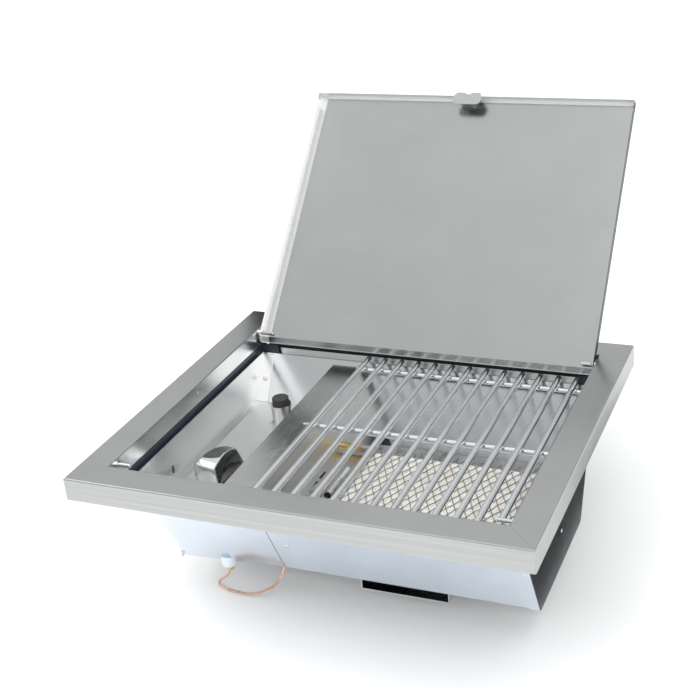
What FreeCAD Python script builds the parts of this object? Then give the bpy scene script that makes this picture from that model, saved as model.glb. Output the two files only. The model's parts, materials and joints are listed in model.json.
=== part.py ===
import FreeCAD, Part
import Sketcher
import math
import os

# Built-in side burner: trim frame, hopper firebox, control well, infrared
# burner, lift-off rod grate, tilting lid, push-and-turn knob and igniter.
# Frame: origin at the centre of the trim on the counter plane (underside of
# the trim's lip), +X to the user's right, +Y to the back, +Z up. Millimetres.

os.makedirs("parts", exist_ok=True)
doc = FreeCAD.newDocument("side_burner")
V = FreeCAD.Vector
ROT = FreeCAD.Rotation

# ---------------------------------------------------------------- dimensions
sheet = doc.addObject("Spreadsheet::Sheet", "Sizes")
CELLS = [
    ("trim_width", 560.0, "outer width of the trim frame"),
    ("trim_depth", 476.0, "outer depth of the trim frame"),
    ("trim_height", 28.0, "height of the outer lip"),
    ("trim_face", 37.5, "width of the flat face"),
    ("trim_return", 12.0, "return under the lip that sits on the counter"),
    ("inner_flange", 25.0, "depth of the flange round the opening"),
    ("gauge", 1.2, "sheet thickness"),
    ("bend", 2.0, "outside bend radius"),
    ("lid_gap", 3.0, "side gap between lid and inner flange"),
    ("lid_gap_front", 2.0, "front gap of the closed lid"),
    ("lid_gap_rear", 3.0, "rear gap of the closed lid"),
    ("lid_drop", 0.4, "closed lid below the trim face"),
    ("lid_flange", 12.0, "depth of the lid's turned edge"),
    ("lid_hem", 7.2, "drop of the hem folded under the lid's rear edge"),
    ("lid_lip", 4.0, "inward return on the lid's side edges"),
    ("pivot_back", 16.0, "hinge axis ahead of the rear inner edge"),
    ("pivot_down", 6.75, "hinge axis below the trim face"),
    ("lid_open", 134.4, "angle of the open lid"),
    ("pin_radius", 2.4, "hinge pin radius"),
    ("pin_play", 0.06, "radial running clearance"),
    ("rest_radius", 2.5, "lid rest pin radius"),
    ("rest_ahead", 184.5, "lid rest pins ahead of the centre"),
    ("rest_down", 6.5, "lid rest pins below the trim face"),
    ("pin_reach", 20.2, "reach of the pins from the inner flange"),
    ("box_half", 238.8, "half width inside the firebox"),
    ("box_drop", 8.0, "firebox rim below the counter plane"),
    ("box_depth", 157.5, "firebox floor below the counter plane"),
    ("front_slope", 0.455, "run of the front wall per unit of height"),
    ("front_run", 1.318, "front wall thickness measured along Y"),
    ("rear_slope", 0.595, "run of the rear wall per unit of height"),
    ("rear_run", 1.396, "rear wall thickness measured along Y"),
    ("foot_front", 94.0, "front bottom edge ahead of the centre"),
    ("top_rear", 180.4, "rear inner top edge behind the centre"),
    ("ledge", 11.0, "width of the rear rim turned outwards"),
    ("ledge_front", 30.0, "width of the front rim turned outwards"),
    ("hanger", 1.5, "thickness of the hangers"),
    ("hanger_top", 22.0, "top of the hangers above the counter plane"),
    ("hanger_low", 16.0, "bottom of the hangers below the counter plane"),
    ("divider_x", 88.0, "divider wall left of the centre"),
    ("divider_drop", 13.0, "top of the divider below the counter plane"),
    ("divider_wide", 39.0, "width of the divider's top"),
    ("seam_x", 89.0, "seam of the front wall left of the centre"),
    ("panel_drop", 67.0, "control panel below the counter plane"),
    ("plate", 0.8, "thickness of the blank label plate"),
    ("knob_x", 183.0, "knob axis left of the centre"),
    ("knob_y", 52.0, "knob axis ahead of the centre"),
    ("igniter_x", 176.0, "igniter axis left of the centre"),
    ("igniter_y", 100.8, "igniter axis behind the centre"),
    ("rod_radius", 4.0, "grate rod radius"),
    ("rod_pitch", 24.3, "grate rod spacing"),
    ("rod_length", 364.0, "grate rod length"),
    ("grate_x", 72.0, "centre of the grate right of the centre"),
    ("grate_clear", 0.3, "air under the resting grate"),
    ("burner_x0", 36.0, "burner housing left end left of the centre"),
    ("burner_x1", 216.0, "burner housing right end"),
    ("burner_front", 85.0, "burner housing front ahead of the centre"),
    ("burner_rear", 81.0, "burner housing rear behind the centre"),
    ("burner_top", 74.0, "burner housing top below the counter plane"),
    ("burner_low", 112.0, "burner housing bottom below the counter plane"),
    ("shelf_drop", 88.0, "baffle shelf below the counter plane"),
    ("fitting_y", 76.4, "gas fitting axis behind the centre"),
    ("fitting_z", 79.5, "gas fitting axis below the counter plane"),
    ("brass_radius", 5.0, "gas fitting radius"),
    ("duct_x0", 13.0, "air duct left side"),
    ("duct_x1", 126.4, "air duct right side"),
    ("duct_drop", 14.0, "air duct depth under the floor"),
    ("copper_radius", 1.6, "copper tube radius"),
    ("lead_radius", 1.3, "electrode lead radius"),
    ("stem_radius", 4.0, "valve stem radius"),
    ("sleeve_radius", 6.0, "valve sleeve radius"),
    ("knob_radius", 35.5, "knob skirt radius"),
    ("divider_lip", 9.0, "width of the divider's top past its wall, under the cross rods"),
    ("knob_bar", 30.4, "width of the knob's bar at its front end"),
    ("knob_rest", 12.0, "degrees the resting knob stands clockwise of straight"),
    ("button_radius", 11.4, "igniter cap radius"),
    ("barrel_radius", 13.75, "igniter barrel radius"),
]
sheet.set("A1", "name")
sheet.set("B1", "value")
sheet.set("C1", "meaning")
for row, (alias, value, note) in enumerate(CELLS, start=2):
    sheet.set("A%d" % row, alias)
    sheet.set("B%d" % row, str(value))
    sheet.set("C%d" % row, note)
    sheet.setAlias("B%d" % row, alias)
doc.recompute()


class Q:
    """A size with the expression that gives it from the sheet."""

    def __init__(self, v, e):
        self.v = float(v)
        self.e = e

    @staticmethod
    def of(o):
        if isinstance(o, Q):
            return o
        o = float(o)
        return Q(o, "%.6g" % o if o >= 0 else "(0 - %.6g)" % -o)

    def __add__(self, o):
        o = Q.of(o)
        return Q(self.v + o.v, "(%s + %s)" % (self.e, o.e))

    def __radd__(self, o):
        return Q.of(o) + self

    def __sub__(self, o):
        o = Q.of(o)
        return Q(self.v - o.v, "(%s - %s)" % (self.e, o.e))

    def __rsub__(self, o):
        return Q.of(o) - self

    def __mul__(self, o):
        o = Q.of(o)
        return Q(self.v * o.v, "(%s * %s)" % (self.e, o.e))

    def __rmul__(self, o):
        return Q.of(o) * self

    def __truediv__(self, o):
        o = Q.of(o)
        return Q(self.v / o.v, "(%s / %s)" % (self.e, o.e))

    def __neg__(self):
        return Q(-self.v, "(0 - %s)" % self.e)


D = {a: Q(sheet.get(a), "Sizes." + a) for a, _, _ in CELLS}
NODES = {}
POCKETS = []


def bind(obj, prop, q):
    q = Q.of(q)
    obj.setExpression(prop, q.e)


def put(obj, x, y, z, rot=None):
    x, y, z = Q.of(x), Q.of(y), Q.of(z)
    obj.Placement = FreeCAD.Placement(V(x.v, y.v, z.v), rot or ROT())
    bind(obj, "Placement.Base.x", x)
    bind(obj, "Placement.Base.y", y)
    bind(obj, "Placement.Base.z", z)


def node(obj, name):
    obj.Label = name
    NODES[name] = obj
    return obj


COUNT = [0]


def fresh(stem):
    COUNT[0] += 1
    return "%s_%03d" % (stem, COUNT[0])


# ---------------------------------------------------------------- primitives
def box(x0, x1, y0, y1, z0, z1):
    o = doc.addObject("Part::Box", fresh("block"))
    x0, x1, y0, y1, z0, z1 = [Q.of(k) for k in (x0, x1, y0, y1, z0, z1)]
    bind(o, "Length", x1 - x0)
    bind(o, "Width", y1 - y0)
    bind(o, "Height", z1 - z0)
    put(o, x0, y0, z0)
    return o


AXES = {
    "z": ROT(),
    "x": ROT(V(0, 1, 0), 90),
    "y": ROT(V(1, 0, 0), -90),
    "-z": ROT(V(1, 0, 0), 180),
}


def cyl(r, h, x, y, z, axis="z"):
    """A round bar that starts at the point and runs along the axis."""
    o = doc.addObject("Part::Cylinder", fresh("bar"))
    bind(o, "Radius", r)
    bind(o, "Height", h)
    put(o, x, y, z, AXES[axis] if isinstance(axis, str) else axis)
    return o


def cone(r1, r2, h, x, y, z, axis="z"):
    o = doc.addObject("Part::Cone", fresh("taper"))
    bind(o, "Radius1", r1)
    bind(o, "Radius2", r2)
    bind(o, "Height", h)
    put(o, x, y, z, AXES[axis] if isinstance(axis, str) else axis)
    return o


def ball(r, x, y, z):
    o = doc.addObject("Part::Sphere", fresh("ball"))
    bind(o, "Radius", r)
    put(o, x, y, z)
    return o


def hexbar(r, h, x, y, z, axis="z"):
    o = doc.addObject("Part::Prism", fresh("hexagon"))
    o.Polygon = 6
    bind(o, "Circumradius", r)
    bind(o, "Height", h)
    put(o, x, y, z, AXES[axis] if isinstance(axis, str) else axis)
    return o


def cut(base, *tools):
    for t in tools:
        o = doc.addObject("Part::Cut", fresh("cut"))
        o.Base = base
        o.Tool = t
        base = o
    return base


def fuse(*shapes):
    o = doc.addObject("Part::MultiFuse", fresh("joined"))
    o.Shapes = list(shapes)
    return o


def common(a, b):
    o = doc.addObject("Part::Common", fresh("shared"))
    o.Base = a
    o.Tool = b
    return o


def group(*shapes):
    o = doc.addObject("Part::Compound", fresh("set"))
    o.Links = list(shapes)
    return o


# -------------------------------------------------------- bodies and sketches
def plane_of(body, role):
    for f in body.Origin.OriginFeatures:
        if f.Role == role:
            return f
    raise RuntimeError(role)


def new_body():
    return doc.addObject("PartDesign::Body", fresh("body"))


def sketch(body, role, offset=0):
    sk = body.newObject("Sketcher::SketchObject", fresh("profile"))
    sk.AttachmentSupport = (plane_of(body, role), [""])
    sk.MapMode = "FlatFace"
    q = Q.of(offset)
    if q.v:
        sk.AttachmentOffset = FreeCAD.Placement(V(0, 0, q.v), ROT())
        sk.setExpression("AttachmentOffset.Base.z", q.e)
    return sk


def pin_point(sk, g, pos, x, y):
    """Fix a sketch point at sheet-driven coordinates."""
    for kind, q, axis in (("DistanceX", Q.of(x), -2), ("DistanceY", Q.of(y), -1)):
        if abs(q.v) < 1e-9:
            sk.addConstraint(Sketcher.Constraint("PointOnObject", g, pos, axis))
            continue
        i = sk.addConstraint(Sketcher.Constraint(kind, -1, 1, g, pos, q.v))
        sk.renameConstraint(i, "%s_%d_%d" % (kind.lower(), g, pos))
        sk.setExpression("Constraints[%d]" % i, q.e)


def polygon(sk, pts):
    pts = [(Q.of(a), Q.of(b)) for a, b in pts]
    n = len(pts)
    first = sk.GeometryCount
    for i in range(n):
        a, b = pts[i], pts[(i + 1) % n]
        sk.addGeometry(
            Part.LineSegment(V(a[0].v, a[1].v, 0), V(b[0].v, b[1].v, 0)), False
        )
    for i in range(n):
        j = (i + 1) % n
        sk.addConstraint(
            Sketcher.Constraint("Coincident", first + i, 2, first + j, 1)
        )
    for i in range(n):
        pin_point(sk, first + i, 1, *pts[i])


def rect(sk, x0, x1, y0, y1):
    polygon(sk, [(x0, y0), (x1, y0), (x1, y1), (x0, y1)])


def circle(sk, x, y, r):
    x, y, r = Q.of(x), Q.of(y), Q.of(r)
    g = sk.addGeometry(Part.Circle(V(x.v, y.v, 0), V(0, 0, 1), r.v), False)
    pin_point(sk, g, 3, x, y)
    i = sk.addConstraint(Sketcher.Constraint("Radius", g, r.v))
    sk.setExpression("Constraints[%d]" % i, r.e)


def pad(body, sk, length, reverse=False, both=False):
    f = body.newObject("PartDesign::Pad", fresh("pad"))
    f.Profile = sk
    bind(f, "Length", length)
    f.Reversed = reverse
    f.Midplane = both
    body.Tip = f
    return f


def pocket(body, sk, length=None, reverse=False, through=False, both=False):
    f = body.newObject("PartDesign::Pocket", fresh("pocket"))
    f.Profile = sk
    if both:
        bind(f, "Length", length)
        f.Midplane = True
    elif through:
        f.Type = 1
        f.Midplane = True
    else:
        bind(f, "Length", length)
        f.Reversed = reverse
    body.Tip = f
    POCKETS.append(f)
    return f


def prism(role, pts, a0, a1):
    """A body with one profile, drawn on a base plane and run from a0 to a1."""
    body = new_body()
    a0, a1 = Q.of(a0), Q.of(a1)
    # the XZ plane's normal is -Y, so its offset counts the other way
    sk = sketch(body, role, -a1 if role == "XZ_Plane" else a0)
    polygon(sk, pts)
    pad(body, sk, a1 - a0)
    return body


def round_edges(body, radius, wanted):
    """Fillet the body's edges whose midpoint the test accepts."""
    doc.recompute()
    tip = body.Tip
    names = []
    for i, e in enumerate(tip.Shape.Edges, start=1):
        m = e.valueAt((e.FirstParameter + e.LastParameter) / 2)
        if wanted(m, e):
            names.append("Edge%d" % i)
    if not names:
        raise RuntimeError("no edge found to round on " + body.Label)
    f = body.newObject("PartDesign::Fillet", fresh("round"))
    f.Base = (tip, names)
    bind(f, "Radius", radius)
    body.Tip = f
    doc.recompute()
    return f


# ------------------------------------------------------------ derived lines
G = D["gauge"]
HX = D["trim_width"] / 2
HY = D["trim_depth"] / 2
TOP = D["trim_height"]
OX = HX - D["trim_face"]
OY = HY - D["trim_face"]
FX = OX + G
FY = OY + G
RIM = -D["box_drop"]
FLOOR = -D["box_depth"]
BX = D["box_half"]
WF = D["front_run"]
WR = D["rear_run"]
PANEL = -D["panel_drop"]
DX = -D["divider_x"]
DTOP = -D["divider_drop"]
KX, KY = -D["knob_x"], -D["knob_y"]
IX, IY = -D["igniter_x"], D["igniter_y"]
LABEL = PANEL + D["plate"]


def front_out(z):
    return -D["foot_front"] - D["front_slope"] * (Q.of(z) - FLOOR)


def front_in(z):
    return front_out(z) + WF


def rear_in(z):
    return D["top_rear"] + D["rear_slope"] * (Q.of(z) - RIM)


def rear_out(z):
    return rear_in(z) + WR


FLANGE_BOTTOM = TOP - D["inner_flange"]
YP = OY - D["pivot_back"]
ZP = TOP - D["pivot_down"]
PR = D["pin_radius"]
RR = D["rest_radius"]
REST_Y = -D["rest_ahead"]
REST_Z = TOP - D["rest_down"]

# ---------------------------------------------------------------- trim frame
trim = new_body()
sk = sketch(trim, "XY_Plane")
rect(sk, -HX, HX, -HY, HY)
pad(trim, sk, TOP)
sk = sketch(trim, "XY_Plane")
rect(sk, -(HX - G), HX - G, -(HY - G), HY - G)
rect(sk, -FX, FX, -FY, FY)
pocket(trim, sk, TOP - G, reverse=True)
sk = sketch(trim, "XY_Plane")
rect(sk, -OX, OX, -OY, OY)
pocket(trim, sk, through=True)
sk = sketch(trim, "XY_Plane")
rect(sk, -FX - 0.5, FX + 0.5, -FY - 0.5, FY + 0.5)
pocket(trim, sk, FLANGE_BOTTOM, reverse=True)
sk = sketch(trim, "XY_Plane")
rect(sk, -(HX - G), HX - G, -(HY - G), HY - G)
RET = D["trim_return"]
rect(sk, -(HX - RET), HX - RET, -(HY - RET), HY - RET)
pad(trim, sk, G)
sk = sketch(trim, "YZ_Plane")
circle(sk, YP, ZP, PR)
circle(sk, REST_Y, REST_Z, RR)
pocket(trim, sk, (FX + 8) * 2, both=True)
round_edges(
    trim,
    D["bend"],
    lambda m, e: (abs(m.z - TOP.v) < 0.01 and (abs(abs(m.x) - HX.v) < 0.01 or abs(abs(m.y) - HY.v) < 0.01))
    or (abs(abs(m.x) - HX.v) < 0.01 and abs(abs(m.y) - HY.v) < 0.01),
)
round_edges(
    trim,
    D["bend"] * 0.75,
    lambda m, e: abs(m.z - TOP.v) < 0.01
    and ((abs(abs(m.x) - OX.v) < 0.01 and abs(m.y) < OY.v + 0.01) or (abs(abs(m.y) - OY.v) < 0.01 and abs(m.x) < OX.v + 0.01)),
)
node(trim, "trim_frame")

# ------------------------------------------------------------------- hangers
HT, HL, HW = D["hanger_top"], -D["hanger_low"], D["hanger"]
SIDE = BX + G
node(
    prism(
        "XZ_Plane",
        [(-FX - HW, HL), (-SIDE, HL), (-SIDE, HL + HW), (-FX, HL + HW), (-FX, HT), (-FX - HW, HT)],
        -FY - HW,
        FY + HW,
    ),
    "hanger_left",
)
node(
    prism(
        "XZ_Plane",
        [(FX + HW, HL), (SIDE, HL), (SIDE, HL + HW), (FX, HL + HW), (FX, HT), (FX + HW, HT)],
        -FY - HW,
        FY + HW,
    ),
    "hanger_right",
)
strap = prism(
    "XZ_Plane",
    [(-SIDE - HW, -60.0), (-SIDE, -60.0), (-SIDE, HL + HW), (-SIDE - HW, HL + HW)],
    -94.0,
    -67.0,
)
for name in ("hanger_left", "hanger_right"):
    b = NODES[name]
    sk = sketch(b, "YZ_Plane")
    circle(sk, YP, ZP, PR + 0.3)
    circle(sk, REST_Y, REST_Z, RR + 0.3)
    pocket(b, sk, through=True)
node(fuse(NODES["hanger_left"], strap), "hanger_left")
node(
    prism(
        "YZ_Plane",
        [(FY + HW, HL), (192.0, HL), (192.0, HL + HW), (FY, HL + HW), (FY, HT), (FY + HW, HT)],
        -SIDE + 0.05,
        SIDE - 0.05,
    ),
    "hanger_rear",
)
node(
    prism(
        "YZ_Plane",
        [(-FY - HW, HL), (-192.0, HL), (-192.0, HL + HW), (-FY, HL + HW), (-FY, HT), (-FY - HW, HT)],
        -SIDE + 0.05,
        SIDE - 0.05,
    ),
    "hanger_front",
)

# L-shaped brackets that tie the hangers to the firebox rim at the corners
BT = FLANGE_BOTTOM - 0.1
br = []
for sx in (-1, 1):
    x_out, x_in, x_end = sx * FX, sx * (FX - HW), sx * (FX - 26.5)
    for ya, yb, yc in ((185.2, 186.7, 201.0), (-189.2, -190.7, -201.0)):
        br.append(
            prism(
                "XY_Plane",
                [(x_out, ya), (x_end, ya), (x_end, yb), (x_in, yb), (x_in, yc), (x_out, yc)],
                RIM,
                BT,
            )
        )
node(group(*br), "corner_brackets")

# ------------------------------------------------------------------- firebox
LO = RIM - G
front_pts = [
    (front_out(FLOOR), FLOOR),
    (front_out(LO), LO),
    (front_in(RIM) - D["ledge_front"], LO),
    (front_in(RIM) - D["ledge_front"], RIM),
    (front_in(RIM), RIM),
    (front_in(FLOOR), FLOOR),
]
node(prism("YZ_Plane", front_pts, -D["seam_x"], BX), "firebox_front")
# the control cover hangs below the floor with a skewed lower edge
COVER = FLOOR - 14.5
cover_pts = [
    (front_out(COVER), COVER),
    (front_out(LO), LO),
    (front_in(RIM) - D["ledge_front"], LO),
    (front_in(RIM) - D["ledge_front"], RIM),
    (front_in(RIM), RIM),
    (front_in(COVER), COVER),
]
INLET_X, INLET_Y = -172.3, -87.6
COPPER_X, COPPER_Y = -94.0, -86.0
cover = cut(
    prism("YZ_Plane", cover_pts, -BX, -D["seam_x"] - 0.8),
    prism(
        "XZ_Plane",
        [
            (-BX - 2, FLOOR - 12.6),
            (-200.0, FLOOR - 9.6),
            (-160.0, FLOOR - 5.8),
            (-D["seam_x"], FLOOR - 0.3),
            (-D["seam_x"], FLOOR - 18),
            (-BX - 2, FLOOR - 18),
        ],
        -99.0,
        -80.0,
    ),
    cyl(10.9, 40.0, INLET_X, INLET_Y, FLOOR - 40),
)
node(cover, "control_front")
node(
    prism(
        "YZ_Plane",
        [
            (rear_out(FLOOR), FLOOR),
            (rear_out(LO), LO),
            (rear_in(RIM) + D["ledge"], LO),
            (rear_in(RIM) + D["ledge"], RIM),
            (rear_in(RIM), RIM),
            (rear_in(FLOOR), FLOOR),
        ],
        -BX,
        BX,
    ),
    "firebox_rear",
)
floor = prism(
    "XY_Plane",
    [(-BX, front_in(FLOOR)), (BX, front_in(FLOOR)), (BX, rear_in(FLOOR)), (-BX, rear_in(FLOOR))],
    FLOOR,
    FLOOR + G,
)
sk = sketch(floor, "XY_Plane", FLOOR)
rect(sk, 50.0, 97.0, -30.0, 40.0)
circle(sk, COPPER_X, COPPER_Y, 4.0)
circle(sk, INLET_X, INLET_Y, 4.0)
for i in range(6):
    rect(sk, -200.0 + 16 * i, -194.0 + 16 * i, 20.0, 70.0)
pocket(floor, sk, through=True)
node(floor, "floor_pan")

# side plates: a trapezoid with turned edges
def side_pts():
    return [
        (front_out(FLOOR), FLOOR),
        (rear_out(FLOOR), FLOOR),
        (rear_out(RIM), RIM),
        (front_out(RIM), RIM),
    ]


left = prism("YZ_Plane", side_pts(), -SIDE, -BX)
left_parts = [
    left,
    # rear edge turned in over the rear wall, above the control panel
    prism(
        "YZ_Plane",
        [
            (rear_in(RIM - 1.5) - WR, RIM - 1.5),
            (rear_in(RIM - 1.5), RIM - 1.5),
            (rear_in(PANEL + 0.3), PANEL + 0.3),
            (rear_in(PANEL + 0.3) - WR, PANEL + 0.3),
        ],
        -BX - 0.2,
        -BX + 17,
    ),
    # bottom tab of the front edge, bent outwards below the floor
    prism(
        "XZ_Plane",
        [
            (-SIDE - 0.4, FLOOR + 2),
            (-BX, FLOOR + 2),
            (-BX, FLOOR - 12.6),
            (-BX - 8.8, FLOOR - 22.9),
            (-BX - 10.4, FLOOR - 21.5),
            (-SIDE - 0.4, FLOOR - 11.8),
        ],
        front_out(FLOOR) + 0.6,
        front_out(FLOOR) + 9.6,
    ),
]
slot = group(
    cyl(2.7, 6.0, -BX - 4, -80.8, -50.0, "x"),
    cyl(2.7, 6.0, -BX - 4, -80.8, -43.5, "x"),
    box(-BX - 4, -BX + 2, -83.5, -78.1, -50.0, -43.5),
)
node(cut(fuse(*left_parts), *slot.Links), "side_plate_left")
doc.removeObject(slot.Name)

right = prism("YZ_Plane", side_pts(), BX, SIDE)
# its front edge is folded inwards over the front wall
STRIP_LOW = FLOOR - 1.5
strip = prism(
    "YZ_Plane",
    [
        (front_out(-20.0) - WF, -20.0),
        (front_out(-20.0), -20.0),
        (front_out(STRIP_LOW), STRIP_LOW),
        (front_out(STRIP_LOW) - WF, STRIP_LOW),
    ],
    SIDE - 13.5,
    SIDE,
)
SX0 = SIDE - 13.5
strip = common(
    strip,
    prism(
        "XZ_Plane",
        [
            (SX0, -10.0),
            (SX0, STRIP_LOW + 4.0),
            (SX0 + 0.5, STRIP_LOW + 2.0),
            (SX0 + 2.0, STRIP_LOW + 0.5),
            (SX0 + 4.0, STRIP_LOW),
            (SIDE - 4.0, STRIP_LOW),
            (SIDE - 2.0, STRIP_LOW + 0.5),
            (SIDE - 0.5, STRIP_LOW + 2.0),
            (SIDE, STRIP_LOW + 4.0),
            (SIDE, -10.0),
        ],
        -175.0,
        -80.0,
    ),
)
node(fuse(right, strip), "side_plate_right")

# divider between the control well and the burner bay
div_wall = prism(
    "YZ_Plane",
    [
        (front_in(FLOOR + G), FLOOR + G),
        (rear_in(FLOOR + G), FLOOR + G),
        (rear_in(DTOP), DTOP),
        (front_in(DTOP), DTOP),
    ],
    DX,
    DX + G,
)
div_top = prism(
    "XZ_Plane",
    [
        (DX + D["divider_lip"], DTOP),
        (DX + D["divider_lip"], DTOP - G),
        (DX - D["divider_wide"] + G, DTOP - G),
        (DX - D["divider_wide"] + G, DTOP - 5),
        (DX - D["divider_wide"], DTOP - 5),
        (DX - D["divider_wide"], DTOP),
    ],
    front_in(DTOP - 5),
    rear_in(DTOP - 5),
)
div_foot = prism(
    "YZ_Plane",
    [
        (front_in(-60.0), -60.0),
        (front_in(-60.0) + WF, -60.0),
        (front_in(-150.0) + WF, -150.0),
        (front_in(-150.0), -150.0),
    ],
    DX,
    DX + 42,
)
divider = cut(
    fuse(div_wall, div_top, div_foot),
    cyl(D["brass_radius"], 12.0, DX - 5, D["fitting_y"], -D["fitting_z"], "x"),
    cyl(4.0, 12.0, DX - 5, 30.0, -112.0, "x"),
)
node(divider, "divider")

# control panel: a tray between the left side plate and the divider
PF = front_in(PANEL - G) + 0.3
PB = rear_in(PANEL - G) - 0.2
panel = prism("XY_Plane", [(-BX, PF), (DX, PF), (DX, PB), (-BX, PB)], PANEL - G, PANEL)
sk = sketch(panel, "XY_Plane", PANEL - G)
rect(sk, -BX, -BX + G, PF + 14, PB - 8)
rect(sk, DX - G, DX, PF + 14, PB - 8)
pad(panel, sk, 10.0, reverse=True)
sk = sketch(panel, "XY_Plane", PANEL - G - 10.0)
rect(sk, DX - G - 0.4, DX + 0.4, D["fitting_y"] - 6.5, D["fitting_y"] + 6.5)
pocket(panel, sk, 5.6, reverse=True)
sk = sketch(panel, "XY_Plane", PANEL)
circle(sk, KX, KY, 6.8)
circle(sk, IX, IY, 11.0)
pocket(panel, sk, through=True)
node(panel, "control_panel")

# blank label plate on the panel
LX0, LX1, LY0, LY1 = -BX + 7.4, DX - 52, -131.5, 139.8
label = prism("XY_Plane", [(LX0, LY0), (LX1, LY0), (LX1, LY1), (LX0, LY1)], PANEL, LABEL)
sk = sketch(label, "XY_Plane", PANEL)
circle(sk, KX, KY, 6.8)
circle(sk, IX, IY, 11.0)
pocket(label, sk, through=True)
round_edges(label, 8.0, lambda m, e: abs(abs(e.Vertexes[0].Z - e.Vertexes[-1].Z) - D["plate"].v) < 1e-6 and m.x > LX0.v - 0.1 and e.Curve.TypeId == "Part::GeomLine")
node(label, "label_plate")

# ledge that carries the grate on the right
node(
    cut(
        prism(
            "XZ_Plane",
            [(BX, DTOP), (BX - 16, DTOP), (BX - 16, DTOP - G), (BX - G, DTOP - G), (BX - G, DTOP - 14), (BX, DTOP - 14)],
            -157.2,
            165.0,
        ),
        box(BX - 2, BX + 1, -160.0, -151.6, DTOP - 15, DTOP - G),
    ),
    "grate_ledge",
)

# slotted baffle shelf beside the burner
SH = -D["shelf_drop"]
shelf = prism(
    "XZ_Plane",
    [(DX + G, SH), (-D["burner_x0"], SH), (-D["burner_x0"], SH - G), (DX + 2 * G, SH - G), (DX + 2 * G, SH - 12), (DX + G, SH - 12)],
    -118.2,
    122.0,
)
SX, SZ = -47.5, SH + 6.2
sk = sketch(shelf, "XY_Plane", SH)
rect(sk, -80.6, -77.4, 5.1, 23.1)
rect(sk, -80.8, -77.6, -18.3, -1.1)
rect(sk, -80.8, -77.6, -52.7, -34.7)
rect(sk, -61.4, -58.0, -22.5, -6.1)
rect(sk, -61.4, -58.0, -46.7, -28.7)
circle(sk, -76.3, -27.2, 3.2)
circle(sk, SX, 22.0, 2.2)
pocket(shelf, sk, through=True)
node(shelf, "baffle_shelf")

# -------------------------------------------------------------------- burner
B0, B1 = -D["burner_x0"], D["burner_x1"]
F0, F1 = -D["burner_front"], D["burner_rear"]
BT0, BL0 = -D["burner_top"], -D["burner_low"]
TX0, TX1, TY0, TY1 = -20.0, 200.0, -60.0, 56.4
housing = new_body()
sk = sketch(housing, "XY_Plane", BL0)
rect(sk, B0, B1, F0, F1)
pad(housing, sk, BT0 - BL0)
sk = sketch(housing, "XY_Plane", BL0 + G)
rect(sk, B0 + G, B1 - G, F0 + G, F1 - G)
hollow = BT0 - BL0 - 2 * G
sk2 = sk
pocket(housing, sk2, hollow, reverse=True)
sk = sketch(housing, "XY_Plane", BT0)
rect(sk, TX0, TX1, TY0, TY1)
pocket(housing, sk, 4.0)
sk = sketch(housing, "YZ_Plane", B0)
circle(sk, D["fitting_y"], -D["fitting_z"], 4.5)
pocket(housing, sk, 2.0, reverse=True)
node(housing, "burner_housing")
node(box(TX0, TX1, TY0, TY1, BT0 - 11, BT0 + 2), "ceramic_tile")
node(box(-23.0, 203.0, -63.0, 59.4, BT0 + 2.6, BT0 + 3.8), "burner_screen")
clips = [
    box(x, x + 2.6, y, y + 12, BT0, BT0 + 2.6)
    for x in (-22.8, 200.2)
    for y in (-54.0, -7.8, 38.4)
]
node(group(*clips), "screen_clips")
legs = []
for x in (-5.0, 165.0):
    legs.append(
        prism(
            "XZ_Plane",
            [
                (x, FLOOR + G),
                (x + 20, FLOOR + G),
                (x + 20, FLOOR + 2 * G),
                (x + 1.5, FLOOR + 2 * G),
                (x + 1.5, BL0 - G),
                (x + 20, BL0 - G),
                (x + 20, BL0),
                (x, BL0),
            ],
            -55.0,
            55.0,
        )
    )
node(group(*legs), "burner_brackets")

# gas fitting through the divider, ferrule and mixer tube into the burner
FYC, FZC = D["fitting_y"], -D["fitting_z"]
BRR = D["brass_radius"]
node(
    fuse(
        hexbar(7.5, 7.0, DX - 12, FYC, FZC, "x"),
        cyl(BRR, 41.2, DX - 5, FYC, FZC, "x"),
    ),
    "orifice_fitting",
)
FX_END = DX - 5 + 41.2
node(cyl(5.4, 3.6, FX_END, FYC, FZC, "x"), "ferrule_ring")
node(
    cut(
        cyl(4.5, B0 + G - FX_END - 3.6, FX_END + 3.6, FYC, FZC, "x"),
        cyl(3.4, 20.0, FX_END + 3.0, FYC, FZC, "x"),
    ),
    "mixer_tube",
)

# spark electrode in its round shroud on the shelf
node(
    cut(
        cyl(6.2, 36.0, SX, -39.0, SZ, "y"),
        cyl(5.2, 38.0, SX, -40.0, SZ, "y"),
        box(SX - 3.0, SX + 3.0, -10.0, -1.0, SZ + 2.0, SZ + 8.0),
    ),
    "electrode_shroud",
)
node(
    fuse(
        cyl(3.2, 44.0, SX, -18.0, SZ, "y"),
        cyl(5.19, 4.0, SX, -15.0, SZ, "y"),
        cyl(2.4, 5.7, SX, 22.0, SZ - 5.7, "z"),
    ),
    "electrode_ceramic",
)
node(cyl(1.0, 12.0, SX, -30.0, SZ, "y"), "electrode_tip")


def route(pts):
    """Straight runs joined by tangent arcs; returns each arc's radius too."""
    edges, radii = [], []
    start = pts[0]
    for i in range(1, len(pts) - 1):
        a, b, c = pts[i - 1], pts[i], pts[i + 1]
        u = (a - b)
        w = (c - b)
        la, lb = u.Length, w.Length
        u.normalize()
        w.normalize()
        turn = math.pi - u.getAngle(w)
        reach = 0.45 * min(la, lb)
        r = reach / math.tan(turn / 2)
        radii.append(round(r, 1))
        p, q = b + u * reach, b + w * reach
        bis = u + w
        bis.normalize()
        centre = b + bis * (r / math.cos(turn / 2))
        mid = centre + (b - centre).normalize() * r
        if (p - start).Length > 1e-6:
            edges.append(Part.LineSegment(start, p).toShape())
        edges.append(Part.Arc(p, mid, q).toShape())
        start = q
    edges.append(Part.LineSegment(start, pts[-1]).toShape())
    return Part.Wire(edges), radii


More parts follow.
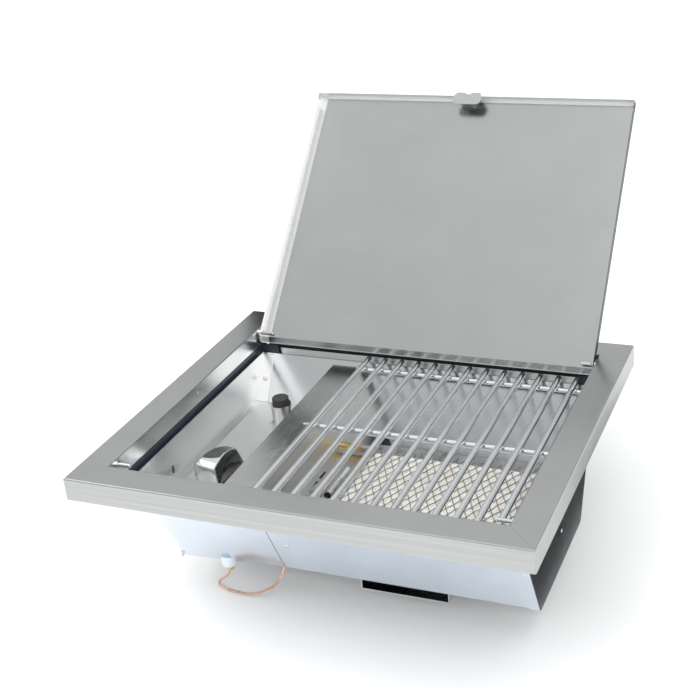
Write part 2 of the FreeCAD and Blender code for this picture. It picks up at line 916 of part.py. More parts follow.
def tube(name, pts, radius):
    pts = [V(*[Q.of(k).v for k in p]) for p in pts]
    wire, radii = route(pts)
    d = (pts[1] - pts[0]).normalize()
    ring = Part.Wire([Part.Circle(pts[0], d, radius).toShape()])
    solid = wire.makePipeShell([ring], True, False)
    if solid.Volume < 0:
        solid = solid.reversed()
    want = math.pi * radius * radius * wire.Length
    print("%s: radii %s, length %.1f mm, volume %.1f of %.1f" % (name, radii, wire.Length, solid.Volume, want))
    if abs(solid.Volume - want) > 0.02 * want:
        raise RuntimeError(name + " has the wrong volume")
    o = doc.addObject("Part::Feature", fresh("tube"))
    o.Shape = solid
    return node(o, name)


# gas feed from the valve to the fitting
VLOW = PANEL.v - 39.0
VOUT = VLOW + 12.0
tube(
    "gas_feed_tube",
    [
        (KX.v, KY.v + 21.0, VOUT),
        (KX.v, KY.v + 55.0, VOUT),
        (KX.v + 32.0, KY.v + 96.0, VOUT + 6.0),
        (DX.v - 44.0, FYC.v, FZC.v),
        (DX.v - 12.0, FYC.v, FZC.v),
    ],
    3.9,
)
# high-voltage lead from the igniter, through the divider, to the electrode
IMOD_LOW = PANEL.v - 38.0
tube(
    "electrode_lead",
    [
        (IX.v, IY.v, IMOD_LOW),
        (IX.v, IY.v, IMOD_LOW - 16.0),
        (IX.v + 30.0, IY.v - 30.0, IMOD_LOW - 24.0),
        (DX.v - 26.0, 30.0, -112.0),
        (DX.v + 14.0, 30.0, -112.0),
        (SX - 8.0, 26.0, -114.0),
        (SX, 22.0, -106.0),
        (SX, 22.0, SZ.v - 5.7),
    ],
    D["lead_radius"].v,
)
lead_grommet = cut(
    cyl(4.0, 5.0, DX - 1.9, 30.0, -112.0, "x"),
    cyl(D["lead_radius"], 8.0, DX - 3, 30.0, -112.0, "x"),
)

# ----------------------------------------------------- gas valve and fittings
SR, VR = D["stem_radius"], D["sleeve_radius"]
PLAY = D["pin_play"]
valve = cut(
    fuse(
        box(KX - 15, KX + 15, KY - 21, KY + 21, VLOW, PANEL - G - 4),
        cyl(11.0, 4.0, KX, KY, PANEL - G - 4),
        cyl(6.5, 10.0, KX, KY - 31.0, VOUT, "y"),
        cyl(5.0, 6.0, KX + 15, KY - 8, VOUT, "x"),
    ),
    cyl(VR + PLAY, 30.0, KX, KY, PANEL - G - 29),
)
node(valve, "valve_body")
# bush that slides in the valve with the stem; the stem turns in it
node(cut(cyl(VR, 14.0, KX, KY, PANEL - 16.0), cyl(SR + PLAY, 16.0, KX, KY, PANEL - 17.0)), "valve_plunger")

# under-floor inlet: round cup, flare nut and the copper loop
BZ = FLOOR - 16.5
cup = new_body()
sk = sketch(cup, "XY_Plane", BZ)
circle(sk, INLET_X, INLET_Y, 10.5)
pad(cup, sk, FLOOR - BZ)
round_edges(cup, 5.0, lambda m, e: abs(m.z - BZ.v) < 0.01)
node(
    cut(
        fuse(cup, cyl(3.99, 4.0, INLET_X, INLET_Y, FLOOR - 1)),
        cyl(D["copper_radius"], 40.0, INLET_X, INLET_Y, BZ - 5),
    ),
    "inlet_boot",
)
node(
    cut(
        fuse(
            hexbar(5.6, 4.6, INLET_X, INLET_Y, BZ - 4.6),
            cyl(3.6, 1.6, INLET_X, INLET_Y, BZ - 6.2),
        ),
        cyl(D["copper_radius"] + 1.3, 12.0, INLET_X, INLET_Y, BZ - 9),
    ),
    "flare_nut",
)
tube(
    "copper_tube",
    [
        (INLET_X, INLET_Y, FLOOR.v + 6.0),
        (INLET_X, INLET_Y, FLOOR.v - 29.0),
        (-199.0, -88.0, -206.0),
        (-175.0, -101.0, -203.0),
        (-135.0, -103.0, -203.5),
        (-104.0, -96.0, -187.0),
        (COPPER_X, COPPER_Y, -167.0),
        (COPPER_X, COPPER_Y, FLOOR.v + 16.0),
        (COPPER_X - 12.0, COPPER_Y + 12.0, FLOOR.v + 42.0),
        (KX.v + 48.0, KY.v - 8.0, VOUT),
        (KX.v + 21.0, KY.v - 8.0, VOUT),
    ],
    D["copper_radius"].v,
)
tube_grommet = cut(
    fuse(cyl(5.5, 2.0, COPPER_X, COPPER_Y, FLOOR - 2.0), cyl(4.0, 4.0, COPPER_X, COPPER_Y, FLOOR - 0.4)),
    cyl(D["copper_radius"] + 0.15, 12.0, COPPER_X, COPPER_Y, FLOOR - 5),
)
node(group(lead_grommet, tube_grommet), "grommets")

# air duct under the floor, open at the front and back
A0, A1 = D["duct_x0"], D["duct_x1"]
AZ = FLOOR - D["duct_drop"]
node(
    prism(
        "XZ_Plane",
        [(A0, FLOOR), (A0, AZ), (A1, AZ), (A1, FLOOR), (A1 - G, FLOOR), (A1 - G, AZ + G), (A0 + G, AZ + G), (A0 + G, FLOOR)],
        -93.0,
        78.0,
    ),
    "air_duct",
)

# ------------------------------------------------------------------- igniter
BR = D["barrel_radius"]
BTN = D["button_radius"]
IB = LABEL + 25.2
igniter = cut(
    fuse(
        cyl(16.5, 2.0, IX, IY, LABEL),
        cyl(BR, IB - LABEL, IX, IY, LABEL),
        cyl(10.99, LABEL - PANEL + G, IX, IY, PANEL - G),
    ),
    cyl(BTN + 0.3, 20.0, IX, IY, IB - 15.5),
)
node(igniter, "igniter_barrel")
node(
    fuse(cyl(10.9, 36.8, IX, IY, PANEL - G - 36.8), cyl(4.0, 2.0, IX, IY, PANEL - 38.0)),
    "igniter_module",
)
node(cut(hexbar(16.5, 4.0, IX, IY, PANEL - G - 4.0), cyl(10.9, 6.0, IX, IY, PANEL - G - 5.0)), "igniter_nut")
button = new_body()
sk = sketch(button, "XY_Plane", IB - 9.5)
circle(sk, IX, IY, BTN)
pad(button, sk, 19.2)
round_edges(button, 1.4, lambda m, e: abs(m.z - (IB.v + 9.7)) < 0.01)
node(button, "igniter_cap")

# ---------------------------------------------------------------------- knob
KS = LABEL + 3.8
KB = D["knob_bar"] / 2
KR = D["knob_radius"]
stem = cut(
    fuse(
        cyl(SR, KS + 20 - (PANEL - 23), KX, KY, PANEL - 23.0),
        cyl(5.4, 1.5, KX, KY, PANEL - 17.8),
        cyl(5.4, 1.5, KX, KY, PANEL - 1.7),
    ),
    box(KX - 6, KX + 6, KY + SR - 1.2, KY + SR + 3, PANEL + 4.0, KS + 25),
)
node(stem, "valve_stem")
# side profile of the bar: distance behind the axis, height over the label
BAR = [
    (-35.2, 7.0),
    (-35.3, 31.2),
    (-34.2, 33.2),
    (-29.0, 35.6),
    (-24.0, 37.2),
    (-17.0, 39.0),
    (-9.0, 40.1),
    (-1.0, 40.0),
    (7.0, 38.2),
    (15.0, 35.2),
    (21.0, 31.0),
    (23.5, 28.0),
    (29.0, 16.0),
    (33.4, 7.0),
]
# the bar narrows towards the rear, and the whole grip rests a little off straight
TAPER = 0.2
REST = D["knob_rest"].v


def grip_turn(o, own=None):
    """Turns a piece of the grip with the resting knob, after a turn of its own."""
    turn = FreeCAD.Placement(V(0, 0, 0), ROT(V(0, 0, 1), -REST), V(KX.v, KY.v, 0))
    o.Placement = turn if own is None else turn.multiply(own)
    return o


def plan_wedge(inset, low, high):
    """Upright wedge in plan: the bar's outline drawn inset on both sides."""
    w = [KB - inset - TAPER * (k + 33.0) for k in (-40.0, 40.0)]
    return prism("XY_Plane", [(KX - w[0], KY - 40.0), (KX + w[0], KY - 40.0), (KX + w[1], KY + 40.0), (KX - w[1], KY + 40.0)], low, high)


skirt = fuse(cyl(KR, 2.0, KX, KY, KS), cone(KR, KR - 1.6, 2.0, KX, KY, KS + 2))
bar = grip_turn(
    common(
        common(
            prism("YZ_Plane", [(KY + a, LABEL + b) for a, b in BAR], KX - KB - 2, KX + KB + 2),
            plan_wedge(0.0, LABEL, LABEL + 60),
        ),
        cyl(36.6, 60.0, KX, KY, LABEL),
    )
)
top = [(a, b) for a, b in BAR if -26.0 < a < 22.0]
RIM_W = 1.9
recess = grip_turn(
    common(
        prism(
            "YZ_Plane",
            [(KY + a, LABEL + b - 1.8) for a, b in top] + [(KY + top[-1][0], LABEL + 44.0), (KY + top[0][0], LABEL + 44.0)],
            KX - KB,
            KX + KB,
        ),
        plan_wedge(RIM_W, LABEL, LABEL + 60),
    )
)
pointer = grip_turn(box(KX - 0.6, KX + 0.6, KY - 33.0, KY - 26.4, LABEL + 35.0, LABEL + 42))
knob = cut(
    fuse(skirt, bar),
    recess,
    pointer,
    cut(
        cyl(SR, KS + 20.2 - KS + 2, KX, KY, KS - 2),
        box(KX - 6, KX + 6, KY + SR - 1.2, KY + SR + 3, KS - 3, KS + 25),
    ),
)
node(knob, "knob_shell")
# black side panels that lie on the slanting sides
side_pts_in = [(KY + a * 0.94, LABEL + 8.2 + (b - 7.0) * 0.93) for a, b in BAR]
side_in = []
LEAN = math.degrees(math.atan(TAPER))
for sx in (-1, 1):
    mid = KB - TAPER * 33.0
    x0 = KX + mid if sx > 0 else KX - mid - 0.7
    edge = KX.v + sx * mid.v
    plate = prism("YZ_Plane", side_pts_in, x0, x0 + 0.7)
    own = FreeCAD.Placement(V(0, 0, 0), ROT(V(0, 0, 1), sx * LEAN), V(edge, KY.v, 0))
    side_in.append(grip_turn(plate, own))
node(group(*side_in), "knob_side_inserts")
node(
    grip_turn(
        common(
            prism(
                "YZ_Plane",
                [(KY + a, LABEL + b - 1.8) for a, b in top] + [(KY + a, LABEL + b - 1.0) for a, b in reversed(top)],
                KX - KB,
                KX + KB,
            ),
            plan_wedge(RIM_W, LABEL, LABEL + 60),
        )
    ),
    "knob_top_insert",
)

# --------------------------------------------------------------------- grate
RODR = D["rod_radius"]
PITCH = D["rod_pitch"]
HALF = D["rod_length"] / 2
CROSS_Z = DTOP + D["grate_clear"] + RODR
ROD_Z = CROSS_Z + 2 * RODR
rods = []
for i in range(13):
    x = D["grate_x"] + PITCH * (i - 6)
    rod = new_body()
    sk = sketch(rod, "XZ_Plane", -HALF)
    circle(sk, x, ROD_Z, RODR)
    pad(rod, sk, D["rod_length"])
    rods.append(rod)
doc.recompute()
for rod in rods:
    round_edges(rod, RODR * 0.8, lambda m, e: abs(abs(m.y) - HALF.v) < 0.01)
node(group(*rods), "grate_rods")
cross = [
    cyl(RODR, BX - 3 - (DX + 3.5), DX + 3.5, y, CROSS_Z, "x") for y in (-155.2, 2.2, 160.6)
]
node(group(*cross), "grate_cross_rods")

# -------------------------------------------------------- lid and hinge pins
LW = OX - D["lid_gap"]
LF = -(OY - D["lid_gap_front"]) - YP
LR = OY - D["lid_gap_rear"] - YP
LT = TOP - D["lid_drop"] - ZP
LB = LT - D["lid_flange"]


def lid_place(o):
    o.Placement = FreeCAD.Placement(V(0, YP.v, ZP.v), ROT(V(1, 0, 0), -D["lid_open"].v))
    bind(o, "Placement.Base.y", YP)
    bind(o, "Placement.Base.z", ZP)
    bind(o, "Placement.Rotation.Angle", 0 - D["lid_open"])


lid = new_body()
sk = sketch(lid, "XY_Plane", LB)
rect(sk, -LW, LW, LF, LR)
pad(lid, sk, D["lid_flange"])
sk = sketch(lid, "XY_Plane", LB)
rect(sk, -(LW - G), LW - G, LF + G, LR + 1)
pocket(lid, sk, D["lid_flange"] - G, reverse=True)
# the rear edge is folded back under the lid instead of turned down
HEM = D["lid_hem"]
sk = sketch(lid, "YZ_Plane")
polygon(
    sk,
    [
        (LR, LT),
        (LR - HEM, LT - HEM),
        (LR - HEM - G * 1.4142, LT - HEM),
        (LR - G * 2.4142, LT - G),
        (LR - G * 2.4142, LT),
    ],
)
pad(lid, sk, LW * 2, both=True)
sk = sketch(lid, "XY_Plane", LB)
LIP = D["lid_lip"]
rect(sk, -LW, -(LW - LIP), LF + 15, LR - 12)
rect(sk, LW - LIP, LW, LF + 15, LR - 12)
pad(lid, sk, G)
sk = sketch(lid, "YZ_Plane")
circle(sk, 0, 0, PR + PLAY)
circle(sk, -188.0, -1.6, 1.5)
# notches of the side flanges that drop over the rest pins
NY, NZ = REST_Y - YP, REST_Z - ZP + RR + 0.5
polygon(
    sk,
    [
        (NY - 3.2, LB - 1),
        (NY + 3.2, LB - 1),
        (NY + 3.2, NZ - 1.6),
        (NY + 1.6, NZ),
        (NY - 1.6, NZ),
        (NY - 3.2, NZ - 1.6),
    ],
)
polygon(sk, [(LR + 1, LB - 1), (LR - 6.5, LB - 1), (LR - 6.5, LB), (LR + 1, LB + 7.5)])
pocket(lid, sk, through=True)
round_edges(
    lid,
    D["bend"] * 0.9,
    lambda m, e: (abs(m.z - LT.v) < 0.01 and ((abs(abs(m.x) - LW.v) < 0.01 and e.Length > 20) or abs(m.y - LF.v) < 0.01))
    or (abs(abs(m.x) - LW.v) < 0.01 and abs(m.y - LF.v) < 0.01),
)
lid_place(lid)
node(lid, "lid_panel")

# pull clip inside the lid's front edge: back plate, two rolled loops, tongue
loops = [cyl(4.0, 13.0, x, LF + 2.3, LB - 4.3, "x") for x in (-17.5, 4.5)]
tongue = new_body()
sk = sketch(tongue, "XY_Plane", LB - 8.3)
polygon(
    sk,
    [
        (-18.5, LF + 2.3),
        (18.5, LF + 2.3),
        (22.0, LF + 7.0),
        (19.0, LF + 15.5),
        (15.0, LF + 18.5),
        (-17.0, LF + 18.5),
        (-21.0, LF + 15.5),
        (-22.0, LF + 8.0),
    ],
)
pad(tongue, sk, 1.4)
pull = cut(
    fuse(box(-16.0, 16.0, LF + G, LF + G + 1.4, LB - 4.0, LT - 2.0), tongue, *loops),
    *[cyl(2.6, 15.0, x, LF + 2.3, LB - 4.3, "x") for x in (-18.5, 3.5)]
)
lid_place(pull)
node(pull, "lid_pull")
prv = group(
    *[cyl(2.4, 1.6, x, LF + G + 1.4, LB + 6.2, "y") for x in (-8.0, 8.0)]
)
lid_place(prv)
node(prv, "lid_pull_rivets")

REACH = D["pin_reach"]
hp = []
rp = []
wash = []
for sx in (-1, 1):
    if sx < 0:
        hp.append(fuse(cyl(PR, G + REACH - 0.8, -FX, YP, ZP, "x"), cone(PR, PR - 0.8, 0.8, -OX + REACH - 0.8, YP, ZP, "x")))
        rp.append(cyl(RR, G + REACH - RR, -FX, REST_Y, REST_Z, "x"))
    else:
        hp.append(fuse(cyl(PR, G + REACH - 0.8, OX - REACH + 0.8, YP, ZP, "x"), cone(PR - 0.8, PR, 0.8, OX - REACH, YP, ZP, "x")))
        rp.append(cyl(RR, G + REACH - RR, OX - REACH + RR, REST_Y, REST_Z, "x"))
    rp[-1] = fuse(
        rp[-1],
        ball(RR, sx * (OX - REACH + RR), REST_Y, REST_Z),
        cyl(4.2, 2.2, -OX if sx < 0 else OX - 2.2, REST_Y, REST_Z, "x"),
    )
    wash.append(
        cut(
            cyl(4.2, 2.5, -OX if sx < 0 else OX - 2.5, YP, ZP, "x"),
            cyl(PR, 4.0, -OX - 1 if sx < 0 else OX - 3.0, YP, ZP, "x"),
        )
    )
node(group(*hp), "hinge_pins")
node(group(*rp), "lid_rest_pins")
node(group(*wash), "hinge_washers")

# ----------------------------------------------------------------- fasteners
OUT_FRONT = ROT(V(1, 0, 0), 90 + math.degrees(math.atan(D["front_slope"].v)))
IN_REAR = ROT(V(1, 0, 0), 90 - math.degrees(math.atan(D["rear_slope"].v)))


def rivet(x, z, wall="front", r=3.0, h=1.0):
    if wall == "front":
        return cone(r, r * 0.62, h, x, front_out(z), z, OUT_FRONT)
    if wall == "strip":
        return cone(r, r * 0.62, h, x, front_out(z) - WF, z, OUT_FRONT)
    return cone(r, r * 0.62, h, x, rear_in(z) - WR, z, IN_REAR)


node(
    group(
        rivet(-70.4, -109.0),
        rivet(221.0, -131.0),
        rivet(230.4, -88.0, "strip"),
        rivet(232.6, -34.0, "strip"),
        rivet(-229.5, -40.0),
    ),
    "front_rivets",
)
node(
    group(
        rivet(-230.0, -39.0, "rear", 3.4, 1.4),
        cone(3.0, 1.9, 1.3, -94.0, 12.3, DTOP),
    ),
    "well_screws",
)
node(
    group(
        *[
            cone(3.6, 2.6, 2.4, x, y, HL + HW)
            for x in (-200.0, 203.0)
            for y in (197.0, -197.0)
        ]
    ),
    "hanger_screws",
)
node(
    group(
        cone(2.0, 1.3, 0.8, -OX, 6.7, 17.0, "x"),
        cone(2.0, 1.3, 0.8, OX, 6.7, 17.0, ROT(V(0, 1, 0), -90)),
        cone(2.6, 1.7, 0.9, SIDE, 2.6, -112.0, "x"),
        cone(2.6, 1.7, 0.9, -SIDE, 2.6, -112.0, ROT(V(0, 1, 0), -90)),
    ),
    "side_rivets",
)

# -------------------------------------------------------------------- checks
doc.recompute()
bad = []
for o in doc.Objects:
    if any(k in ("Invalid", "Error") for k in o.State):
        bad.append("%s (%s): %s" % (o.Label, o.Name, o.State))
for f in POCKETS:
    base = f.BaseFeature
    if base is None or f.Shape.Volume >= base.Shape.Volume - 0.05:
        bad.append("%s cuts nothing" % f.Name)
for name, o in NODES.items():
    s = o.Shape
    if s.isNull() or not s.isValid():
        bad.append(name + ": bad shape")
    elif not s.Solids or s.Volume <= 0:
        bad.append(name + ": no solid")
if bad:
    raise RuntimeError("\n".join(bad))
if len(NODES) > 60:
    raise RuntimeError("too many nodes")
for f in os.listdir("parts"):
    if f.endswith(".step") and f[:-5] not in NODES:
        os.remove(os.path.join("parts", f))
for name, o in sorted(NODES.items()):
    o.Shape.exportStep("parts/" + name + ".step")
    bb = o.Shape.BoundBox
    print(
        "%-20s solids %2d  vol %9.0f  x %7.1f %7.1f  y %7.1f %7.1f  z %7.1f %7.1f"
        % (name, len(o.Shape.Solids), o.Shape.Volume, bb.XMin, bb.XMax, bb.YMin, bb.YMax, bb.ZMin, bb.ZMax)
    )
print("%d nodes" % len(NODES))
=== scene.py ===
import json
import math

import bmesh
import bpy
import numpy as np
from mathutils import Matrix, Vector

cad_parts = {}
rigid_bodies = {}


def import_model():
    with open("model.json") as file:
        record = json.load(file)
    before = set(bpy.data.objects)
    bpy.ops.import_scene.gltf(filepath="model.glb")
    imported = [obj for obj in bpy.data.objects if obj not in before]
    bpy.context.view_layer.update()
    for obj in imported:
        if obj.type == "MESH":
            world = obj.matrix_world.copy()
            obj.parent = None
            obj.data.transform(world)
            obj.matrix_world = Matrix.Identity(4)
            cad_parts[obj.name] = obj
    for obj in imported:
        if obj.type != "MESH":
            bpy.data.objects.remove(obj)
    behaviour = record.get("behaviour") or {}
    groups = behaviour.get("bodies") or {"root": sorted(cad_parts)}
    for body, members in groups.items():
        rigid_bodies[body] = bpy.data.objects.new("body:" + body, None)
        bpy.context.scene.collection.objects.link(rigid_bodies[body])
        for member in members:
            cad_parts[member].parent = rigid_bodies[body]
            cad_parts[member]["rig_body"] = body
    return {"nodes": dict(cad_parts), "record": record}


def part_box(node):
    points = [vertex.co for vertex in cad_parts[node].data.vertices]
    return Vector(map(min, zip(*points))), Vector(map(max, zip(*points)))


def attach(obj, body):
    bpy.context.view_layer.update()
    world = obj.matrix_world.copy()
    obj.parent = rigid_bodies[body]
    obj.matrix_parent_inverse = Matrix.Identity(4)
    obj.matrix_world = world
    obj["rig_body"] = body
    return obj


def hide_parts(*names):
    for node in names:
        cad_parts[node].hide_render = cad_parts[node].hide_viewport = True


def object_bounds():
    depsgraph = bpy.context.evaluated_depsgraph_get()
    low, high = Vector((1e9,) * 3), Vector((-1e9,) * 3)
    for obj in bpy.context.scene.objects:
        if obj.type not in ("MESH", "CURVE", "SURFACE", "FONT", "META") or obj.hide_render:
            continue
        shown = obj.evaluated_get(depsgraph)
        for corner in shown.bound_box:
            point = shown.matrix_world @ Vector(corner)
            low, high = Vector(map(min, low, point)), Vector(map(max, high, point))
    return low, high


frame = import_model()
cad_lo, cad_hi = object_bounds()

scene = bpy.context.scene
scene.view_settings.view_transform = "Standard"
scene.view_settings.look = "None"

nodes = frame["nodes"]
slot_of = {s["node"]: s["material_slot"] for s in frame["record"]["subparts"]}

# ------------------------------------------------------------------ camera
cam_data = bpy.data.cameras.new("view_camera")
cam = bpy.data.objects.new("view_camera", cam_data)
scene.collection.objects.link(cam)
RIGHT = (0.9317966828, 0.3550742413, -0.0753473625)
DOWN = (0.0750766888, -0.3916200372, -0.9170590150)
AHEAD = (-0.3551315716, 0.8488557178, -0.3915680499)
m = Matrix.Identity(4)
for i in range(3):
    m[i][0] = RIGHT[i]
    m[i][1] = -DOWN[i]
    m[i][2] = -AHEAD[i]
m[0][3], m[1][3], m[2][3] = 0.592127, -1.248488, 0.766530
cam.matrix_world = m
cam_data.sensor_width = 36.0
cam_data.lens = 1273.08 / 700 * 36.0
cam_data.shift_x = -60.0 / 700
cam_data.shift_y = -60.0 / 700
cam_data.clip_start = 0.05
cam_data.clip_end = 60.0
scene.camera = cam


# ------------------------------------------------------------- node helpers
class Net:
    """Small helper that wires one procedural material."""

    def __init__(self, name):
        self.mat = bpy.data.materials.new(name)
        self.mat.use_nodes = True
        self.t = self.mat.node_tree
        self.t.nodes.clear()
        self.out = self.t.nodes.new("ShaderNodeOutputMaterial")
        self.b = self.t.nodes.new("ShaderNodeBsdfPrincipled")
        self.t.links.new(self.b.outputs[0], self.out.inputs[0])
        self.co = self.t.nodes.new("ShaderNodeTexCoord").outputs["Object"]

    def link(self, a, b):
        self.t.links.new(a, b)

    def math(self, op, a, b=None, clamp=False):
        n = self.t.nodes.new("ShaderNodeMath")
        n.operation = op
        n.use_clamp = clamp
        for i, v in enumerate((a, b)):
            if v is None:
                continue
            if isinstance(v, (int, float)):
                n.inputs[i].default_value = v
            else:
                self.link(v, n.inputs[i])
        return n.outputs[0]

    def mapping(self, scale, rot=(0, 0, 0), loc=(0, 0, 0)):
        n = self.t.nodes.new("ShaderNodeMapping")
        n.inputs["Location"].default_value = loc
        n.inputs["Rotation"].default_value = rot
        n.inputs["Scale"].default_value = scale
        self.link(self.co, n.inputs["Vector"])
        return n.outputs[0]

    def noise(self, scale, detail=3.0, rough=0.55, vec=None, rot=(0, 0, 0), loc=(0, 0, 0), distort=0.0):
        n = self.t.nodes.new("ShaderNodeTexNoise")
        n.inputs["Scale"].default_value = 1.0
        n.inputs["Detail"].default_value = detail
        n.inputs["Roughness"].default_value = rough
        n.inputs["Distortion"].default_value = distort
        if isinstance(scale, (int, float)):
            scale = (scale,) * 3
        self.link(self.mapping(scale, rot, loc), n.inputs["Vector"])
        return n.outputs["Fac"]

    def ramp(self, fac, stops):
        n = self.t.nodes.new("ShaderNodeValToRGB")
        e = n.color_ramp.elements
        while len(e) < len(stops):
            e.new(0.5)
        for i, (p, c) in enumerate(stops):
            e[i].position = p
            e[i].color = (c[0], c[1], c[2], 1) if hasattr(c, "__len__") else (c, c, c, 1)
        self.link(fac, n.inputs[0])
        return n.outputs[0]

    def remap(self, fac, lo, hi, a=0.3, b=0.7):
        n = self.t.nodes.new("ShaderNodeMapRange")
        n.inputs["From Min"].default_value = a
        n.inputs["From Max"].default_value = b
        n.inputs["To Min"].default_value = lo
        n.inputs["To Max"].default_value = hi
        self.link(fac, n.inputs["Value"])
        return n.outputs[0]

    def mix(self, fac, a, b, kind="MIX"):
        n = self.t.nodes.new("ShaderNodeMix")
        n.data_type = "RGBA"
        n.blend_type = kind
        for v, s in ((fac, n.inputs[0]), (a, n.inputs[6]), (b, n.inputs[7])):
            if isinstance(v, (int, float)):
                s.default_value = v
            elif isinstance(v, (tuple, list)):
                s.default_value = (v[0], v[1], v[2], 1)
            else:
                self.link(v, s)
        return n.outputs[2]

    def mixf(self, fac, a, b):
        n = self.t.nodes.new("ShaderNodeMix")
        n.data_type = "FLOAT"
        for v, s in ((fac, n.inputs[0]), (a, n.inputs[2]), (b, n.inputs[3])):
            if isinstance(v, (int, float)):
                s.default_value = v
            else:
                self.link(v, s)
        return n.outputs[0]

    def bump(self, height, strength, distance):
        n = self.t.nodes.new("ShaderNodeBump")
        n.inputs["Strength"].default_value = strength
        n.inputs["Distance"].default_value = distance
        self.link(height, n.inputs["Height"])
        self.link(n.outputs[0], self.b.inputs["Normal"])

    def xyz(self):
        n = self.t.nodes.new("ShaderNodeSeparateXYZ")
        self.link(self.co, n.inputs[0])
        return n.outputs[0], n.outputs[1], n.outputs[2]

    def set(self, **kw):
        for k, v in kw.items():
            self.b.inputs[k.replace("_", " ")].default_value = v


tip_lo, tip_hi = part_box("lid_panel")
STRIP_AT = tip_hi.y * 0.7 + tip_hi.z * 0.7142 - 0.0105


def brushed(name, base, rough=0.3, along="x", grain=0.05, spread=0.05, blotch=0.04, fine=900.0, long=6.0, tint=None, mitre=None, rot=(0, 0, 0), smudge=0.05, lay=5e-5, strip=False, wall=None):
    """Brushed or satin sheet steel: fine grain along one way, soft clouding, faint rub marks."""
    n = Net(name)
    n.set(Metallic=1.0)

    def stretch(axis, f):
        return {"x": (long, f, f), "y": (f, long, f), "z": (f, f, long)}[axis]

    g = n.noise(stretch(along, fine), 4.0, 0.6, rot=rot)
    g2 = n.noise(stretch(along, fine * 0.22), 3.0, 0.55, rot=rot, loc=(3.1, 1.7, 0.4))
    g3 = n.noise(stretch(along, 3000.0), 1.0, 0.5, rot=rot, loc=(0.4, 0.2, 0.9))
    if mitre:
        x, y, z = n.xyz()
        a = n.math("SUBTRACT", n.math("ABSOLUTE", x), mitre[0])
        b = n.math("SUBTRACT", n.math("ABSOLUTE", y), mitre[1])
        side = n.math("GREATER_THAN", a, b)
        h = n.noise(stretch("y", fine), 4.0, 0.6)
        h2 = n.noise(stretch("y", fine * 0.22), 3.0, 0.55, loc=(1.1, 4.7, 2.4))
        h3 = n.noise(stretch("y", 3000.0), 1.0, 0.5, loc=(0.1, 0.6, 0.3))
        g3 = n.mixf(side, g3, h3)
        g = n.mixf(side, g, h)
        g2 = n.mixf(side, g2, h2)
        seam = n.math("LESS_THAN", n.math("ABSOLUTE", n.math("SUBTRACT", a, b)), 0.00035)
    cloud = n.noise(9.0, 4.0, 0.6, loc=(0.3, 0.9, 0.2), distort=0.4)
    rub = n.noise(34.0, 5.0, 0.7, loc=(5.0, 2.0, 1.0), distort=1.2)
    lo = [c * (1 - blotch) for c in base]
    hi = [min(1.0, c * (1 + blotch * 0.8)) for c in base]
    if tint:
        hi = [h * (1 - 0.5) + t * 0.5 for h, t in zip(hi, tint)]
    col = n.mix(n.remap(cloud, 0.0, 1.0), tuple(lo), tuple(hi))
    col = n.mix(n.remap(g2, 0.0, grain * 2.2), col, tuple(c * 0.72 for c in base))
    col = n.mix(n.remap(rub, 0.0, smudge * 2, 0.56, 0.8), col, tuple(c * 0.8 for c in base))
    if mitre:
        # the turned-down lip is painted darker than the top as painted shade, streaked with longer rub lines
        long_rub = n.noise((3.0, 3.0, 420.0), 3.0, 0.6, loc=(1.2, 0.3, 2.0))
        lip = n.math("LESS_THAN", z, 0.0264)
        lip_painted_shade = n.mix(n.remap(long_rub, 0.0, 1.0, 0.35, 0.7), tuple(c * 0.74 for c in base), tuple(c * v for c, v in zip(base, (0.86, 0.85, 0.835))))
        col = n.mix(lip, col, lip_painted_shade)
        # painted light: the inner flange round the opening is painted near-white
        inside = n.math("MULTIPLY", n.math("LESS_THAN", n.math("ABSOLUTE", x), 0.262), n.math("LESS_THAN", n.math("ABSOLUTE", y), 0.220))
        col = n.mix(n.math("MULTIPLY", lip, inside), col, (0.92, 0.925, 0.92))
        col = n.mix(n.math("MULTIPLY", seam, 0.35), col, tuple(c * 0.5 for c in base))
    r = n.math("ADD", n.remap(g, rough - spread, rough + spread, 0.25, 0.75), n.remap(rub, 0.0, smudge, 0.5, 0.75))
    r = n.math("ADD", r, n.remap(cloud, -0.02, 0.025), clamp=True)
    if wall is not None:
        # below its top the sheet is paler and rougher
        x, y, z = n.xyz()
        low = n.math("LESS_THAN", z, wall)
        col = n.mix(low, col, (0.86, 0.855, 0.84))
        r = n.mixf(low, r, 0.40)
    if strip:
        # the turned edge across the lid and the left flange are painted paler as painted light, and made duller
        x, y, z = n.xyz()
        along_lid = n.math("ADD", n.math("MULTIPLY", y, 0.7), n.math("MULTIPLY", z, 0.7142))
        turned = n.math("MAXIMUM", n.math("GREATER_THAN", along_lid, STRIP_AT), n.math("LESS_THAN", x, tip_lo.x + 0.0125))
        col = n.mix(turned, col, (0.93, 0.93, 0.92))
        r = n.mixf(turned, r, 0.46)
        # the outer face of the right flange is painted near-black as a painted dark reflection
        outer = n.math("GREATER_THAN", x, tip_hi.x - 0.0005)
        col = n.mix(outer, col, (0.055, 0.062, 0.078))
        r = n.mixf(outer, r, 0.35)
    n.link(col, n.b.inputs["Base Color"])
    n.link(r, n.b.inputs["Roughness"])
    n.bump(n.math("ADD", g3, n.math("MULTIPLY", n.math("ADD", g, g2), 0.12)), 1.0, lay)
    return n.mat


